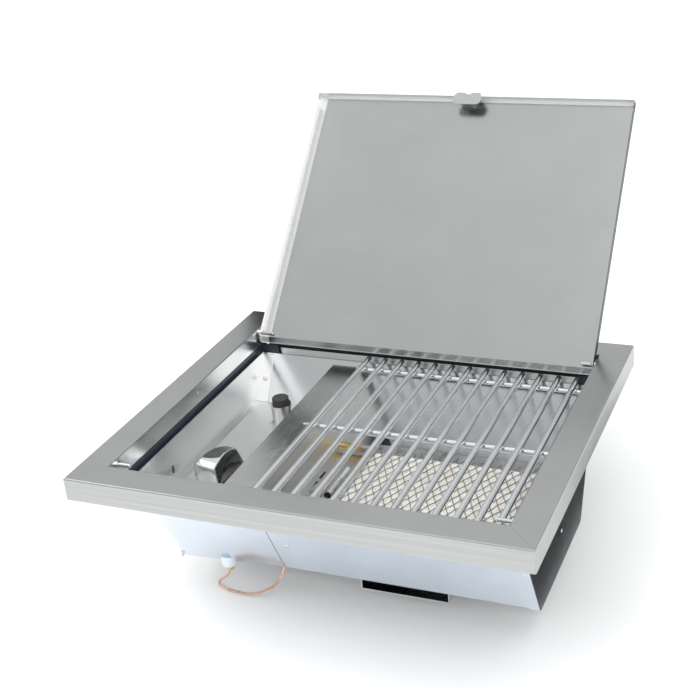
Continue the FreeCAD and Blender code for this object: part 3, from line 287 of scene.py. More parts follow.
def polished(name, base, rough=0.12, blotch=0.05, scratch=0.03, wave=0.0, wave_size=14.0):
    """Bright plated or rolled metal: hairline scratches, light haze and a slightly wavy sheet."""
    n = Net(name)
    n.set(Metallic=1.0)
    haze = n.noise(60.0, 4.0, 0.6)
    hair = n.noise((1500.0, 18.0, 1500.0), 3.0, 0.6, rot=(0.3, 0.2, 0.5))
    lo = tuple(c * (1 - blotch) for c in base)
    col = n.mix(n.remap(haze, 0.0, 1.0), lo, base)
    col = n.mix(n.remap(hair, 0.0, 0.18, 0.58, 0.8), col, tuple(c * 0.75 for c in base))
    n.link(col, n.b.inputs["Base Color"])
    r = n.math("ADD", n.remap(haze, rough * 0.75, rough * 1.3), n.remap(hair, 0.0, scratch, 0.5, 0.8), clamp=True)
    n.link(r, n.b.inputs["Roughness"])
    if wave:
        w = n.noise(wave_size, 2.0, 0.5, loc=(2, 3, 1))
        n.bump(w, 1.0, wave)
    else:
        n.bump(hair, 0.05, 0.00002)
    return n.mat


def plastic(name, base, rough=0.45, grain=500.0, depth=0.25, coat=0.0, lift=1.6):
    n = Net(name)
    n.set(Metallic=0.0, Coat_Weight=coat, Coat_Roughness=0.15)
    g = n.noise(grain, 4.0, 0.6)
    c = n.noise(40.0, 4.0, 0.65)
    col = n.mix(n.remap(c, 0.0, 1.0, 0.35, 0.7), base, tuple(min(1, v * lift + 0.003) for v in base))
    n.link(col, n.b.inputs["Base Color"])
    n.link(n.math("ADD", n.remap(g, rough - 0.06, rough + 0.08), n.remap(c, -0.03, 0.05), clamp=True), n.b.inputs["Roughness"])
    n.bump(g, depth, 0.0003)
    return n.mat


MATS = {}
# painted light and shade: the brushed sheet materials below (trim, lid, front, left, box, divider, panel steel and
# the label plate) have base colours set lighter or darker part by part to give the tones light and reflection
# would; the bluish front_steel is a painted reflection of the floor. They also differ in grain and roughness.
MATS["trim_steel"] = brushed("trim_steel", (0.555, 0.567, 0.562), 0.22, "x", grain=0.03, blotch=0.04, fine=700.0, long=5.0, mitre=(0.280 - 0.0375, 0.238 - 0.0375), smudge=0.04, spread=0.03, lay=3.5e-5)
MATS["lid_steel"] = brushed("lid_steel", (0.458, 0.478, 0.472), 0.24, "x", grain=0.02, blotch=0.03, fine=650.0, long=4.0, smudge=0.015, spread=0.02, lay=2.0e-5, strip=True)
MATS["front_steel"] = brushed("front_steel", (0.78, 0.845, 0.92), 0.17, "x", grain=0.02, blotch=0.06, fine=500.0, smudge=0.03, spread=0.02, lay=1.2e-5)
MATS["left_steel"] = brushed("left_steel", (0.96, 0.965, 0.955), 0.32, "y", grain=0.02, blotch=0.05, fine=480.0, spread=0.02, smudge=0.05, lay=1.0e-5)
MATS["box_steel"] = brushed("box_steel", (0.64, 0.65, 0.655), 0.17, "x", grain=0.02, blotch=0.04, fine=480.0, spread=0.02, smudge=0.03, lay=0.3e-5)
MATS["divider_steel"] = brushed("divider_steel", (0.60, 0.61, 0.605), 0.22, "y", grain=0.03, blotch=0.08, fine=600.0, smudge=0.06, lay=1.0e-5, wall=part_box("divider")[1].z - 0.0016)
MATS["panel_steel"] = brushed("panel_steel", (0.80, 0.81, 0.80), 0.20, "y", grain=0.03, fine=520.0, lay=1.5e-5)
MATS["shelf_steel"] = polished("shelf_steel", (0.88, 0.88, 0.87), 0.20)
MATS["label_plate"] = brushed("label_plate", (0.84, 0.86, 0.855), 0.42, "y", grain=0.02, blotch=0.02, fine=800.0, smudge=0.02, lay=1.5e-5)
MATS["rod_chrome"] = polished("rod_chrome", (0.87, 0.885, 0.905), 0.13, blotch=0.06, scratch=0.04)
MATS["knob_chrome"] = polished("knob_chrome", (0.82, 0.82, 0.81), 0.09, scratch=0.02)
MATS["bright_metal"] = polished("bright_metal", (0.80, 0.80, 0.79), 0.12, scratch=0.03)
MATS["burner_steel"] = polished("burner_steel", (0.92, 0.92, 0.91), 0.2)
MATS["screen_wire"] = polished("screen_wire", (0.36, 0.35, 0.32), 0.30, blotch=0.3, scratch=0.1)
MATS["electrode_wire"] = polished("electrode_wire", (0.50, 0.49, 0.47), 0.28, blotch=0.2)
# painted shadow: a near-black material for the shadowed gap behind the rear rim
MATS["painted_shadow_black"] = plastic("painted_shadow_black", (0.020, 0.020, 0.022), 0.5, 260.0, 0.1)
MATS["pull_steel"] = polished("pull_steel", (0.55, 0.555, 0.55), 0.16, scratch=0.03)
MATS["brass"] = polished("brass", (0.80, 0.60, 0.25), 0.17, blotch=0.14, scratch=0.05)
MATS["valve_metal"] = polished("valve_metal", (0.60, 0.60, 0.60), 0.34, blotch=0.12, scratch=0.05)


def copper():
    n = Net("copper")
    n.set(Metallic=1.0)
    a = n.noise(38.0, 4.0, 0.65, distort=0.8)
    b = n.noise(420.0, 3.0, 0.6)
    col = n.ramp(a, [(0.30, (0.62, 0.36, 0.27)), (0.48, (0.80, 0.52, 0.40)), (0.64, (0.88, 0.63, 0.50)), (0.80, (0.55, 0.31, 0.22))])
    n.link(col, n.b.inputs["Base Color"])
    n.link(n.math("ADD", n.remap(a, 0.16, 0.30), n.remap(b, 0.0, 0.06)), n.b.inputs["Roughness"])
    n.bump(b, 0.1, 0.0002)
    return n.mat


def navy():
    n = Net("navy_paint")
    n.set(Coat_Weight=0.25, Coat_Roughness=0.2)
    a = n.noise(45.0, 5.0, 0.7, distort=0.5)
    g = n.noise(900.0, 3.0, 0.6)
    col = n.mix(n.remap(a, 0.0, 1.0), (0.018, 0.024, 0.040), (0.038, 0.048, 0.072))
    worn = n.remap(a, 0.0, 1.0, 0.70, 0.76)
    col = n.mix(worn, col, (0.12, 0.13, 0.15))
    n.link(col, n.b.inputs["Base Color"])
    n.link(n.remap(g, 0.33, 0.48), n.b.inputs["Roughness"])
    n.bump(g, 0.12, 0.0002)
    return n.mat


def ceramic():
    """Pale fired tile: streaked surface, small pores painted darker as painted shade, faint heat staining."""
    n = Net("ceramic")
    n.set(Metallic=0.0, Specular_IOR_Level=0.35)
    streak = n.noise((60.0, 900.0, 900.0), 3.0, 0.6, rot=(0, 0, math.radians(-61.5)))
    stain = n.noise(22.0, 4.0, 0.6, distort=0.6)
    pores = n.t.nodes.new("ShaderNodeTexVoronoi")
    pores.inputs["Scale"].default_value = 430.0
    n.link(n.co, pores.inputs["Vector"])
    hole = n.remap(pores.outputs["Distance"], 0.0, 1.0, 0.16, 0.34)
    col = n.mix(n.remap(stain, 0.0, 1.0), (0.80, 0.765, 0.685), (0.90, 0.885, 0.84))
    col = n.mix(n.remap(streak, 0.0, 0.75, 0.40, 0.64), col, (0.97, 0.965, 0.95))
    col = n.mix(n.remap(streak, 0.35, 0.0, 0.30, 0.44), col, (0.56, 0.53, 0.46))
    # painted shade in the pores
    col = n.mix(hole, (0.52, 0.48, 0.41), col)
    n.link(col, n.b.inputs["Base Color"])
    n.link(n.remap(streak, 0.62, 0.42), n.b.inputs["Roughness"])
    n.bump(n.math("ADD", n.math("MULTIPLY", hole, 0.6), streak), 0.5, 0.0006)
    return n.mat


def white_ceramic():
    n = Net("white_ceramic")
    n.set(Coat_Weight=0.6, Coat_Roughness=0.12)
    a = n.noise(30.0, 4.0, 0.6)
    g = n.noise(600.0, 2.0, 0.6)
    n.link(n.mix(n.remap(a, 0.0, 1.0), (0.66, 0.72, 0.79), (0.80, 0.84, 0.88)), n.b.inputs["Base Color"])
    n.link(n.remap(g, 0.22, 0.34), n.b.inputs["Roughness"])
    n.bump(a, 0.15, 0.0006)
    return n.mat


def rubber():
    n = Net("cable_rubber")
    g = n.noise(700.0, 3.0, 0.6)
    a = n.noise(30.0, 4.0, 0.6)
    n.link(n.mix(n.remap(a, 0.0, 1.0), (0.016, 0.016, 0.017), (0.040, 0.040, 0.042)), n.b.inputs["Base Color"])
    n.link(n.remap(g, 0.52, 0.70), n.b.inputs["Roughness"])
    n.bump(g, 0.3, 0.0003)
    return n.mat




def side_plate():
    """Sheet painted near-black outside as a painted dark reflection; the turned-in front edge and the low front
    corner are painted pale as a painted reflection of the floor.
    """
    n = Net("side_steel")
    n.set(Metallic=1.0)
    x, y, z = n.xyz()
    g = n.noise((480.0, 480.0, 8.0), 4.0, 0.6)
    g3 = n.noise((3000.0, 3000.0, 6.0), 1.0, 0.5)
    cloud = n.noise(10.0, 4.0, 0.6, distort=0.5)
    # painted reflections: near-black for the outside, pale bluish for the front strip and the low front corner
    dark = n.mix(n.remap(cloud, 0.0, 1.0), (0.060, 0.072, 0.080), (0.085, 0.098, 0.106))
    pale = n.mix(n.remap(cloud, 0.0, 1.0), (0.74, 0.80, 0.88), (0.82, 0.88, 0.96))
    strip = n.math("LESS_THAN", x, 0.23872)
    edge = n.math("ADD", n.math("MULTIPLY", y, -1.0), n.math("MULTIPLY", z, -0.55))
    low = n.remap(n.math("ADD", edge, n.math("MULTIPLY", cloud, 0.004)), 0.0, 1.0, 0.196, 0.199)
    pale_reflection_mask = n.math("MAXIMUM", strip, low, clamp=True)
    col = n.mix(pale_reflection_mask, dark, pale)
    col = n.mix(n.remap(g, 0.0, 0.08), col, (0.03, 0.03, 0.03))
    n.link(col, n.b.inputs["Base Color"])
    n.link(n.math("ADD", n.remap(g, 0.17, 0.24), n.remap(cloud, -0.02, 0.03)), n.b.inputs["Roughness"])
    n.bump(g3, 1.0, 4e-5)
    return n.mat


MATS["side_steel"] = side_plate()
MATS["copper"] = copper()
MATS["navy_paint"] = navy()
MATS["ceramic"] = ceramic()
MATS["white_ceramic"] = white_ceramic()
MATS["cable_rubber"] = rubber()
MATS["black_plastic"] = plastic("black_plastic", (0.012, 0.012, 0.013), 0.42, grain=650.0, depth=0.35)
MATS["button_plastic"] = plastic("button_plastic", (0.020, 0.020, 0.021), 0.38, grain=1300.0, depth=0.6, coat=0.1)
MATS["insert_black"] = plastic("insert_black", (0.010, 0.010, 0.011), 0.16, grain=260.0, depth=0.08, coat=0.5)
MATS["strip_black"] = plastic("strip_black", (0.030, 0.032, 0.034), 0.30, grain=240.0, depth=0.05, coat=0.12)
MATS["duct_paint"] = plastic("duct_paint", (0.012, 0.013, 0.014), 0.5, grain=420.0, depth=0.4)

for name, o in nodes.items():
    mat = MATS.get(slot_of[name], MATS["box_steel"])
    if len(o.material_slots) == 0:
        o.data.materials.append(mat)
    for s in o.material_slots:
        s.material = mat


# ------------------------------------------------------------- mesh helpers
def make(name, verts, faces, slot, body, smooth=True, replaces=(), bevel=None, angle=40.0):
    me = bpy.data.meshes.new(name)
    me.from_pydata([tuple(v) for v in verts], [], [tuple(f) for f in faces])
    me.validate()
    me.update()
    o = bpy.data.objects.new(name, me)
    scene.collection.objects.link(o)
    me.materials.append(MATS[slot])
    bm = bmesh.new()
    bm.from_mesh(me)
    bmesh.ops.remove_doubles(bm, verts=bm.verts, dist=1e-7)
    bmesh.ops.recalc_face_normals(bm, faces=bm.faces)
    bm.to_mesh(me)
    bm.free()
    if bevel:
        b = o.modifiers.new("edge", "BEVEL")
        b.width = bevel[0]
        b.segments = bevel[1]
        b.limit_method = "ANGLE"
        b.angle_limit = math.radians(bevel[2])
        b.harden_normals = False
    if smooth:
        me.shade_smooth()
        me.set_sharp_from_angle(angle=math.radians(angle))
    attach(o, body)
    if replaces:
        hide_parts(*replaces)
    return o


def basis(n):
    n = Vector(n).normalized()
    t = Vector((1, 0, 0)) if abs(n.x) < 0.8 else Vector((0, 1, 0))
    a = n.cross(t).normalized()
    return a, n.cross(a).normalized(), n


def lathe(profile, origin, axis, seg=28, start=None):
    """Turned solid: profile is (radius, height) from the base centre up."""
    a, b, n = basis(axis)
    o = Vector(origin)
    verts, faces, rings = [], [], []
    for r, h in profile:
        if r < 1e-9:
            rings.append([len(verts)])
            verts.append(o + n * h)
        else:
            ring = []
            for k in range(seg):
                t = 2 * math.pi * k / seg
                ring.append(len(verts))
                verts.append(o + a * (r * math.cos(t)) + b * (r * math.sin(t)) + n * h)
            rings.append(ring)
    for p, q in zip(rings, rings[1:]):
        for k in range(seg):
            k2 = (k + 1) % seg
            if len(p) == 1 and len(q) > 1:
                faces.append((p[0], q[k], q[k2]))
            elif len(q) == 1 and len(p) > 1:
                faces.append((p[k], p[k2], q[0]))
            elif len(p) > 1 and len(q) > 1:
                faces.append((p[k], p[k2], q[k2], q[k]))
    return verts, faces


def merge(parts):
    verts, faces = [], []
    for v, f in parts:
        base = len(verts)
        verts += list(v)
        faces += [tuple(i + base for i in q) for q in f]
    return verts, faces


def islands(node):
    """Each separate solid of a CAD node as a list of its points."""
    me = nodes[node].data
    bm = bmesh.new()
    bm.from_mesh(me)
    bmesh.ops.remove_doubles(bm, verts=bm.verts, dist=1e-6)
    left, found = set(bm.verts), []
    while left:
        stack, pts = [left.pop()], []
        while stack:
            v = stack.pop()
            pts.append(v.co.copy())
            for e in v.link_edges:
                w = e.other_vert(v)
                if w in left:
                    left.remove(w)
                    stack.append(w)
        found.append(np.array([tuple(p) for p in pts]))
    bm.free()
    return sorted(found, key=lambda p: tuple(np.round(p.mean(0), 5)))


def heads(node):
    """Base centre, outward axis, radius and height of each round head in a CAD node."""
    res = []
    for p in islands(node):
        c = p.mean(0)
        w, v = np.linalg.eigh(np.cov((p - c).T))
        n = v[:, 0]
        h = (p - c) @ n
        r = np.linalg.norm((p - c) - np.outer(h, n), axis=1)
        lo, hi = r[h < 0].max(), r[h > 0].max()
        if hi > lo:
            n, h = -n, -h
        base = c + n * h.min()
        res.append((Vector(base), Vector(n), float(max(lo, hi)), float(h.max() - h.min())))
    return res


def dome(base, n, r, h, seg=26):
    prof = [(r * 1.0, -0.0002), (r, h * 0.12)]
    for k in range(1, 8):
        t = k / 8 * math.pi / 2
        prof.append((r * math.cos(t) ** 0.9, h * (0.12 + 0.98 * math.sin(t))))
    prof.append((0.0, h * 1.1))
    return lathe(prof, base, n, seg)


def cross_head(base, n, r, h):
    """Pan head with a recessed cross in its top, drawn as a sunk star."""
    a, b, n = basis(n)
    seg = 48
    verts, faces, rings = [], [], []
    depth = h * 0.75

    def star(t):
        d = min(abs(((t / (math.pi / 2)) % 1.0)), 1 - abs(((t / (math.pi / 2)) % 1.0)))
        return 0.56 if d < 0.13 else 0.20

    rows = [(lambda t: 1.0, -0.0002), (lambda t: 1.0, h * 0.35), (lambda t: 0.93, h * 0.72), (lambda t: 0.78, h * 0.94), (lambda t: 0.62, h * 1.02), (star, h * 1.05), (lambda t: star(t) * 0.85, h * 1.05 - depth)]
    for f, z in rows:
        ring = []
        for k in range(seg):
            t = 2 * math.pi * k / seg
            ring.append(len(verts))
            verts.append(base + a * (r * f(t) * math.cos(t)) + b * (r * f(t) * math.sin(t)) + n * z)
        rings.append(ring)
    c = len(verts)
    verts.append(base + n * (h * 1.05 - depth))
    for p, q in zip(rings, rings[1:]):
        for k in range(seg):
            k2 = (k + 1) % seg
            faces.append((p[k], p[k2], q[k2], q[k]))
    for k in range(seg):
        faces.append((rings[-1][k], rings[-1][(k + 1) % seg], c))
    return verts, faces


# ------------------------------------------------------------ rivets, screws
for node, name, kind in (
    ("front_rivets", "front_rivet_heads", dome),
    ("side_rivets", "side_rivet_heads", dome),
    ("lid_pull_rivets", "pull_rivet_heads", dome),
    ("well_screws", "well_screw_heads", cross_head),
    ("hanger_screws", "hanger_screw_heads", cross_head),
):
    body = nodes[node]["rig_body"]
    v, f = merge([kind(b, n, r, h) for b, n, r, h in heads(node)])
    make(name, v, f, slot_of[node], body, replaces=(node,), angle=35)


# -------------------------------------------------------------- burner screen
def tube_mesh(path, r, sides=7):
    path = np.array(path, float)
    t = np.gradient(path, axis=0)
    t /= np.linalg.norm(t, axis=1)[:, None]
    up = np.array([0.0, 0.0, 1.0])
    a = np.cross(t, up)
    a /= np.maximum(np.linalg.norm(a, axis=1), 1e-9)[:, None]
    b = np.cross(a, t)
    verts, faces = [], []
    for i, p in enumerate(path):
        for k in range(sides):
            w = 2 * math.pi * k / sides
            verts.append(tuple(p + r * (a[i] * math.cos(w) + b[i] * math.sin(w))))
    for i in range(len(path) - 1):
        for k in range(sides):
            k2 = (k + 1) % sides
            faces.append((i * sides + k, i * sides + k2, (i + 1) * sides + k2, (i + 1) * sides + k))
    faces.append(tuple(range(sides))[::-1])
    last = (len(path) - 1) * sides
    faces.append(tuple(last + k for k in range(sides)))
    return verts, faces


slo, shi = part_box("burner_screen")
MX, MY = 0.0058, 0.01075
X0, Y0 = 0.1702, 0.0188
ZM = (slo.z + shi.z) / 2
rng = np.random.default_rng(7)
wires = []
x_lo, x_hi, y_lo, y_hi = slo.x + 0.0005, shi.x - 0.0005, slo.y + 0.0005, shi.y - 0.0005
for family in (1, -1):
    for k in range(-80, 81):
        if k % 2:
            continue
        # points (X0 + MX*i, Y0 + family*MY*(i - k))
        lo_i = (x_lo - X0) / MX
        hi_i = (x_hi - X0) / MX
        y_over = 0.0035 + rng.random() * 0.0035
        y_a = (y_lo - Y0) / MY
        y_b = (y_hi + y_over - Y0) / MY
        if family == 1:
            lo_i, hi_i = max(lo_i, y_a + k), min(hi_i, y_b + k)
        else:
            lo_i, hi_i = max(lo_i, k - y_b), min(hi_i, k - y_a)
        if hi_i - lo_i < 0.35:
            continue
        count = max(4, int((hi_i - lo_i) * 7))
        s = np.linspace(lo_i, hi_i, count)
        x = X0 + MX * s
        y = Y0 + family * MY * (s - k)
        z = ZM + 0.00052 * family * np.cos(math.pi * s)
        # the cut ends at the rear curl a little
        curl = np.clip((y - (y_hi - 0.001)) / 0.007, 0, 1)
        z = z + curl * 0.0022 * (rng.random() - 0.25)
        x = x + curl * 0.003 * (rng.random() - 0.5)
        wires.append(tube_mesh(np.stack([x, y, z], 1), 0.00046))
v, f = merge(wires)
make("burner_wire_mesh", v, f, "screen_wire", "chassis", replaces=("burner_screen",), angle=60)

# ------------------------------------------------------------- grate welds
rods = islands("grate_rods")
cross = islands("grate_cross_rods")
beads = []
for rp in rods:
    rx = (rp[:, 0].min() + rp[:, 0].max()) / 2
    rz = rp[:, 2].min()
    for cp in cross:
        cy = (cp[:, 1].min() + cp[:, 1].max()) / 2
        for side in (-1, 1):
            c = Vector((rx + side * 0.0022, cy, rz + 0.0002))
            vs, fs = lathe([(0.0, -0.0012), (0.0017, -0.0008), (0.0023, 0.0), (0.0017, 0.0009), (0.0, 0.0013)], c, (0.25 * side, 0, 1), 12)
            vs = [Vector((q.x, c.y + (q.y - c.y) * (1.25 + 0.3 * rng.random()), q.z)) for q in vs]
            beads.append((vs, fs))
v, f = merge(beads)
make("grate_weld_beads", v, f, "rod_chrome", "grate", angle=60)


# --------------------------------------------------------------------- knob
klo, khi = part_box("knob_shell")
KX, KY = (klo.x + khi.x) / 2, khi.y - (khi.x - klo.x) / 2
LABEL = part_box("label_plate")[1].z
BAR = [(-35.2, 4.9), (-35.3, 18.0), (-35.3, 29.5), (-34.6, 32.4), (-32.2, 34.2), (-29.0, 35.6), (-24.0, 37.2), (-17.0, 39.0), (-9.0, 40.1), (-1.0, 40.0), (7.0, 38.2), (15.0, 35.2), (20.4, 31.8), (23.5, 28.0), (26.2, 22.0), (29.0, 16.0), (33.2, 4.9)]
TAPER = 0.2
REST = math.radians(-12.0)


def half(y, z=33.0):
    """Half width of the grip, in mm, at a distance behind the knob's axis and a height."""
    return 16.3 - TAPER * (y + 33.0) + 0.07 * max(0.0, 33.0 - z)


def smooth_profile(pts, rounds=2):
    p = [np.array(q, float) for q in pts]
    for _ in range(rounds):
        q = [p[0]]
        for a, b in zip(p, p[1:]):
            q += [a * 0.75 + b * 0.25, a * 0.25 + b * 0.75]
        q.append(p[-1])
        p = q
    return p


def offset_profile(p, d, floor):
    """The outline drawn d inside itself, kept above floor."""
    c = np.array([0.0, 14.0])
    out = []
    for i, q in enumerate(p):
        a = p[max(0, i - 1)]
        b = p[min(len(p) - 1, i + 1)]
        t = (b - a) / max(np.linalg.norm(b - a), 1e-9)
        n = np.array([t[1], -t[0]])
        if n @ (c - q) < 0:
            n = -n
        w = q + n * d
        w[1] = max(w[1], floor)
        out.append(w)
    return out


prof = smooth_profile(BAR)
inner = offset_profile(prof, 2.0, 7.6)


def at(u, q, out=0.0, limit=None):
    """A point of the grip: u across it from -1 to 1, q along and up in mm, out beyond the side in mm."""
    x = u * (half(q[0], q[1]) + out)
    y = q[0]
    if limit:
        d = math.hypot(x, y)
        if d > limit:
            y = math.copysign(math.sqrt(max(0.0, limit * limit - x * x)), y)
    c, s = math.cos(REST), math.sin(REST)
    return Vector((KX + (x * c - y * s) / 1000, KY + (x * s + y * c) / 1000, LABEL + q[1] / 1000))


verts, faces = [], []
N = len(prof)
KR = khi.x - KX
EDGE = 37.6
tuck = offset_profile(prof, 0.8, 4.9)
ease = offset_profile(prof, 0.22, 4.9)
sections = [(-1.0, 0.0, tuck), (-1.0, -0.45, ease), (-1.0, -1.2, prof)]
sections += [(k / 7, -1.2, prof) for k in range(-6, 7)]
sections += [(1.0, -1.2, prof), (1.0, -0.45, ease), (1.0, 0.0, tuck)]
for u, out, pr in sections:
    verts += [at(u, q, out, EDGE) for q in pr]
for s in range(len(sections) - 1):
    for i in range(N - 1):
        faces.append((s * N + i, s * N + i + 1, (s + 1) * N + i + 1, (s + 1) * N + i))
# side faces: chrome rim, then a step inward that the black panel fills
for side, first in ((-1, 0), (1, (len(sections) - 1) * N)):
    base = len(verts)
    verts += [at(side, q, 0.0, EDGE - 2.2) for q in inner]
    verts += [at(side, q, -1.1, EDGE - 2.2) for q in inner]
    for i in range(N - 1):
        faces.append((first + i, first + i + 1, base + i + 1, base + i))
        faces.append((base + i, base + i + 1, base + N + i + 1, base + N + i))
    faces.append(tuple(base + N + i for i in range(N)))
    faces.append((first, base, base + N - 1, first + N - 1))
    faces.append((base, base + N, base + 2 * N - 1, base + N - 1))
faces.append(tuple([s * N for s in range(len(sections))] + [s * N + N - 1 for s in reversed(range(len(sections)))]))
skirt = lathe([(0.0, 0.0), (KR - 0.0006, 0.0), (KR, 0.0006), (KR, 0.0019), (KR - 0.0007, 0.0030), (KR - 0.0021, 0.0039), (KR - 0.0040, 0.0043), (0.0, 0.0045)], (KX, KY, klo.z), (0, 0, 1), 96)
v, f = merge([skirt, (verts, faces)])
make("knob_bar_shell", v, f, "knob_chrome", "knob", replaces=("knob_shell",), angle=38)

panels = []
gap = offset_profile(prof, 2.25, 7.9)
crown = offset_profile(prof, 3.4, 9.0)
n0 = len(gap)
for side in (-1, 1):
    vs = [at(side, q, -1.1, EDGE - 2.5) for q in gap] + [at(side, q, -0.15, EDGE - 2.5) for q in gap] + [at(side, q, 0.35, EDGE - 3.4) for q in crown]
    fs = []
    for ring in (0, 1):
        for i in range(n0):
            j = (i + 1) % n0
            fs.append((ring * n0 + i, ring * n0 + j, (ring + 1) * n0 + j, (ring + 1) * n0 + i))
    fs.append(tuple(range(n0))[::-1])
    fs.append(tuple(2 * n0 + i for i in range(n0)))
    panels.append((vs, fs))
v, f = merge(panels)
make("knob_side_panels", v, f, "insert_black", "knob", replaces=("knob_side_inserts",), angle=50)

# the black strip let into the top, its front end an arc that dips in the middle
run = [q for q in prof if -26.0 < q[0] < 23.0 and q[1] > 26]
rows = 13
vs, fs = [], []
M2 = len(run)
for j in range(rows):
    u = j / (rows - 1) * 2 - 1
    start = -20.5 + 4.0 * u + 2.0 * u * u
    for i in range(M2):
        y2 = start + (21.5 - start) * i / (M2 - 1)
        z2 = float(np.interp(y2, [w[0] for w in run], [w[1] for w in run]))
        vs.append(at(u, (y2, z2 + 0.22), -1.7))
for j in range(rows - 1):
    for i in range(M2 - 1):
        fs.append((j * M2 + i, (j + 1) * M2 + i, (j + 1) * M2 + i + 1, j * M2 + i + 1))
base = len(vs)
for p in list(vs):
    vs.append(Vector((p.x, p.y, p.z - 0.0009)))
for j in range(rows - 1):
    for i in range(M2 - 1):
        fs.append((base + j * M2 + i, base + j * M2 + i + 1, base + (j + 1) * M2 + i + 1, base + (j + 1) * M2 + i))
for i in range(M2 - 1):
    fs.append((i, i + 1, base + i + 1, base + i))
    k = (rows - 1) * M2
    fs.append((k + i + 1, k + i, base + k + i, base + k + i + 1))
for j in range(rows - 1):
    fs.append((j * M2, base + j * M2, base + (j + 1) * M2, (j + 1) * M2))
    e = M2 - 1
    fs.append(((j + 1) * M2 + e, base + (j + 1) * M2 + e, base + j * M2 + e, j * M2 + e))
make("knob_top_panel", vs, fs, "strip_black", "knob", replaces=("knob_top_insert",), angle=50)

# short pointer line on the front of the top face
px = []
q0, q1 = (-32.6, 33.98), (-27.4, 36.12)
for up in (0.12, -0.6):
    for q, u in ((q0, -0.027), (q0, 0.027), (q1, 0.027), (q1, -0.027)):
        px.append(at(u, (q[0], q[1] + up)))
make("knob_pointer", px, [(0, 1, 2, 3), (7, 6, 5, 4), (0, 4, 5, 1), (1, 5, 6, 2), (2, 6, 7, 3), (3, 7, 4, 0)], "insert_black", "knob", bevel=(0.00012, 2, 40))

# the turned-up lip along the rear wall's rim, seen as a pale line under the lid
rlo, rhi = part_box("firebox_rear")
blo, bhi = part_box("corner_brackets")
x0, x1 = blo.x + 0.0275, bhi.x - 0.0275
y0, y1 = rhi.y - 0.0010, rhi.y - 0.0002
z0, z1 = rhi.z - 0.0002, rhi.z + 0.0050
lip = [(x, y, z) for x in (x0, x1) for y in (y0, y1) for z in (z0, z1)]
make("rear_rim_lip", lip, [(0, 1, 3, 2), (4, 6, 7, 5), (0, 4, 5, 1), (2, 3, 7, 6), (0, 2, 6, 4), (1, 5, 7, 3)], "left_steel", "chassis", bevel=(0.0003, 2, 40))
# painted shadow: the rear hanger is coloured near-black where only the gap's shadow shows
nodes["hanger_rear"].data.materials[0] = MATS["painted_shadow_black"]
nodes["lid_pull"].data.materials[0] = MATS["pull_steel"]

# --------------------------------------------------------------- edge finish
for name in ("lid_panel", "divider", "baffle_shelf", "burner_housing", "label_plate", "control_panel", "grate_ledge", "air_duct", "hanger_left", "hanger_rear"):
    b = nodes[name].modifiers.new("edge", "BEVEL")
    b.width = 0.00025
    b.segments = 2
    b.limit_method = "ANGLE"
    b.angle_limit = math.radians(50)

# ------------------------------------------------------------ floor, lights
low = cad_lo.z


def flag(name, corners, tone):
    """A dark card, there only for the metal to reflect."""
    me = bpy.data.meshes.new(name)
    me.from_pydata(corners, [], [tuple(range(len(corners)))])
    o = bpy.data.objects.new(name, me)
    scene.collection.objects.link(o)
    k = Net(name)
    k.set(Metallic=0.0, Specular_IOR_Level=0.0)
    v = k.noise(3.0, 3.0, 0.5)
    k.link(k.mix(v, tuple(c * 0.9 for c in tone), tone), k.b.inputs["Base Color"])
    me.materials.append(k.mat)
    o.visible_camera = False
    o.visible_diffuse = False
    o.visible_shadow = False
    o.visible_transmission = False
    return o


card = [(0.262, -0.02), (0.296, -0.11), (0.320, -0.05), (0.325, 0.12), (0.372, 0.30), (0.372, 0.47), (0.325, 0.60), (0.322, 0.80), (0.262, 0.80)]
flag("dark_card_right", [(x, y, low - 0.0001) for x, y in card], (0.05, 0.052, 0.058))
flag("dark_card_back", [(-0.43, 0.475, 0.06), (-0.285, 0.475, 0.06), (-0.285, 0.475, 0.40), (-0.43, 0.475, 0.40)], (0.03, 0.03, 0.03))
bm = bmesh.new()
bmesh.ops.create_grid(bm, x_segments=24, y_segments=24, size=9.0)
for vert in bm.verts:
    vert.co.z = low - 0.0006
me = bpy.data.meshes.new("studio_floor")
bm.to_mesh(me)
bm.free()
floor = bpy.data.objects.new("studio_floor", me)
scene.collection.objects.link(floor)
n = Net("studio_floor")
n.set(Metallic=0.0, Specular_IOR_Level=0.2)
cl = n.noise(2.2, 3.0, 0.5)
n.link(n.mix(n.remap(cl, 0.0, 1.0), (0.86, 0.86, 0.865), (0.89, 0.89, 0.89)), n.b.inputs["Base Color"])
n.link(n.remap(cl, 0.75, 0.85), n.b.inputs["Roughness"])
me.materials.append(n.mat)

world = bpy.data.worlds.new("studio")
scene.world = world
world.use_nodes = True
wt = world.node_tree
wt.nodes.clear()
wo = wt.nodes.new("ShaderNodeOutputWorld")
bg = wt.nodes.new("ShaderNodeBackground")
wt.links.new(bg.outputs[0], wo.inputs[0])
tc = wt.nodes.new("ShaderNodeTexCoord")
sep = wt.nodes.new("ShaderNodeSeparateXYZ")
wt.links.new(tc.outputs["Generated"], sep.inputs[0])


def wmath(op, a, b, clamp=False):
    k = wt.nodes.new("ShaderNodeMath")
    k.operation = op
    k.use_clamp = clamp
    for i, v in enumerate((a, b)):
        if isinstance(v, (int, float)):
            k.inputs[i].default_value = v
        else:
            wt.links.new(v, k.inputs[i])
    return k.outputs[0]


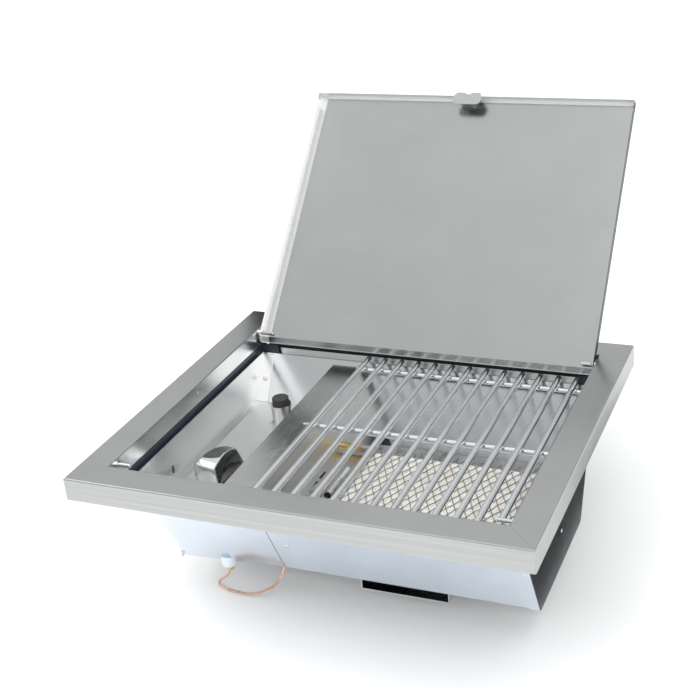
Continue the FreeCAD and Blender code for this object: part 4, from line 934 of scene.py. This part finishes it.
ramp = wt.nodes.new("ShaderNodeValToRGB")
els = ramp.color_ramp.elements
stops = [(0.0, (0.62, 0.63, 0.635)), (0.30, (0.58, 0.59, 0.59)), (0.55, (0.69, 0.70, 0.70)), (0.80, (0.84, 0.85, 0.855)), (1.0, (1.12, 1.13, 1.14))]
while len(els) < len(stops):
    els.new(0.5)
for i, (p, c) in enumerate(stops):
    els[i].position = p
    els[i].color = (*c, 1)
wt.links.new(sep.outputs[2], ramp.inputs[0])
# one side of the room is darker
dark = wmath("MULTIPLY", wmath("MAXIMUM", sep.outputs[0], 0.0), 0.50, True)
mixn = wt.nodes.new("ShaderNodeMix")
mixn.data_type = "RGBA"
wt.links.new(dark, mixn.inputs[0])
wt.links.new(ramp.outputs[0], mixn.inputs[6])
mixn.inputs[7].default_value = (0.16, 0.17, 0.18, 1)
wt.links.new(mixn.outputs[2], bg.inputs[0])
bg.inputs[1].default_value = 1.0


def softbox(name, where, aim, size, power, colour=(1, 1, 1)):
    d = bpy.data.lights.new(name, "AREA")
    d.shape = "RECTANGLE"
    d.size, d.size_y = size
    d.energy = power
    d.color = colour
    o = bpy.data.objects.new(name, d)
    scene.collection.objects.link(o)
    o.location = where
    o.rotation_mode = "QUATERNION"
    o.rotation_quaternion = (Vector(aim) - Vector(where)).to_track_quat("-Z", "Y")
    return o


def sun(name, away, energy, spread):
    """A broad soft light for the floor and the matt parts; it leaves no glare of its own on the metal."""
    d = bpy.data.lights.new(name, "SUN")
    d.energy = energy
    d.angle = math.radians(spread)
    o = bpy.data.objects.new(name, d)
    scene.collection.objects.link(o)
    o.rotation_mode = "QUATERNION"
    o.rotation_quaternion = Vector(away).to_track_quat("-Z", "Y")
    o.visible_glossy = False


sun("top_soft", (0.1, 0.25, -1.0), 0.9, 80)
sun("front_soft", (0.15, 1.0, -0.75), 0.9, 70)
sun("left_soft", (1.0, 0.1, -0.75), 0.6, 70)
sun("right_soft", (-1.0, 0.2, -0.75), 0.6, 70)
softbox("left_box", (-2.2, 0.3, 1.5), (0, 0, 0), (1.2, 2.2), 13.0, (1.0, 0.99, 0.97))
softbox("front_right_box", (1.45, -2.35, 1.40), (0, 0, 0), (1.9, 1.5), 9.5, (0.99, 0.995, 1.0))
softbox("high_right_box", (0.78, -0.50, 2.15), (0.0, 0.3, 0.15), (0.9, 1.2), 9.0, (1.0, 1.0, 1.0))
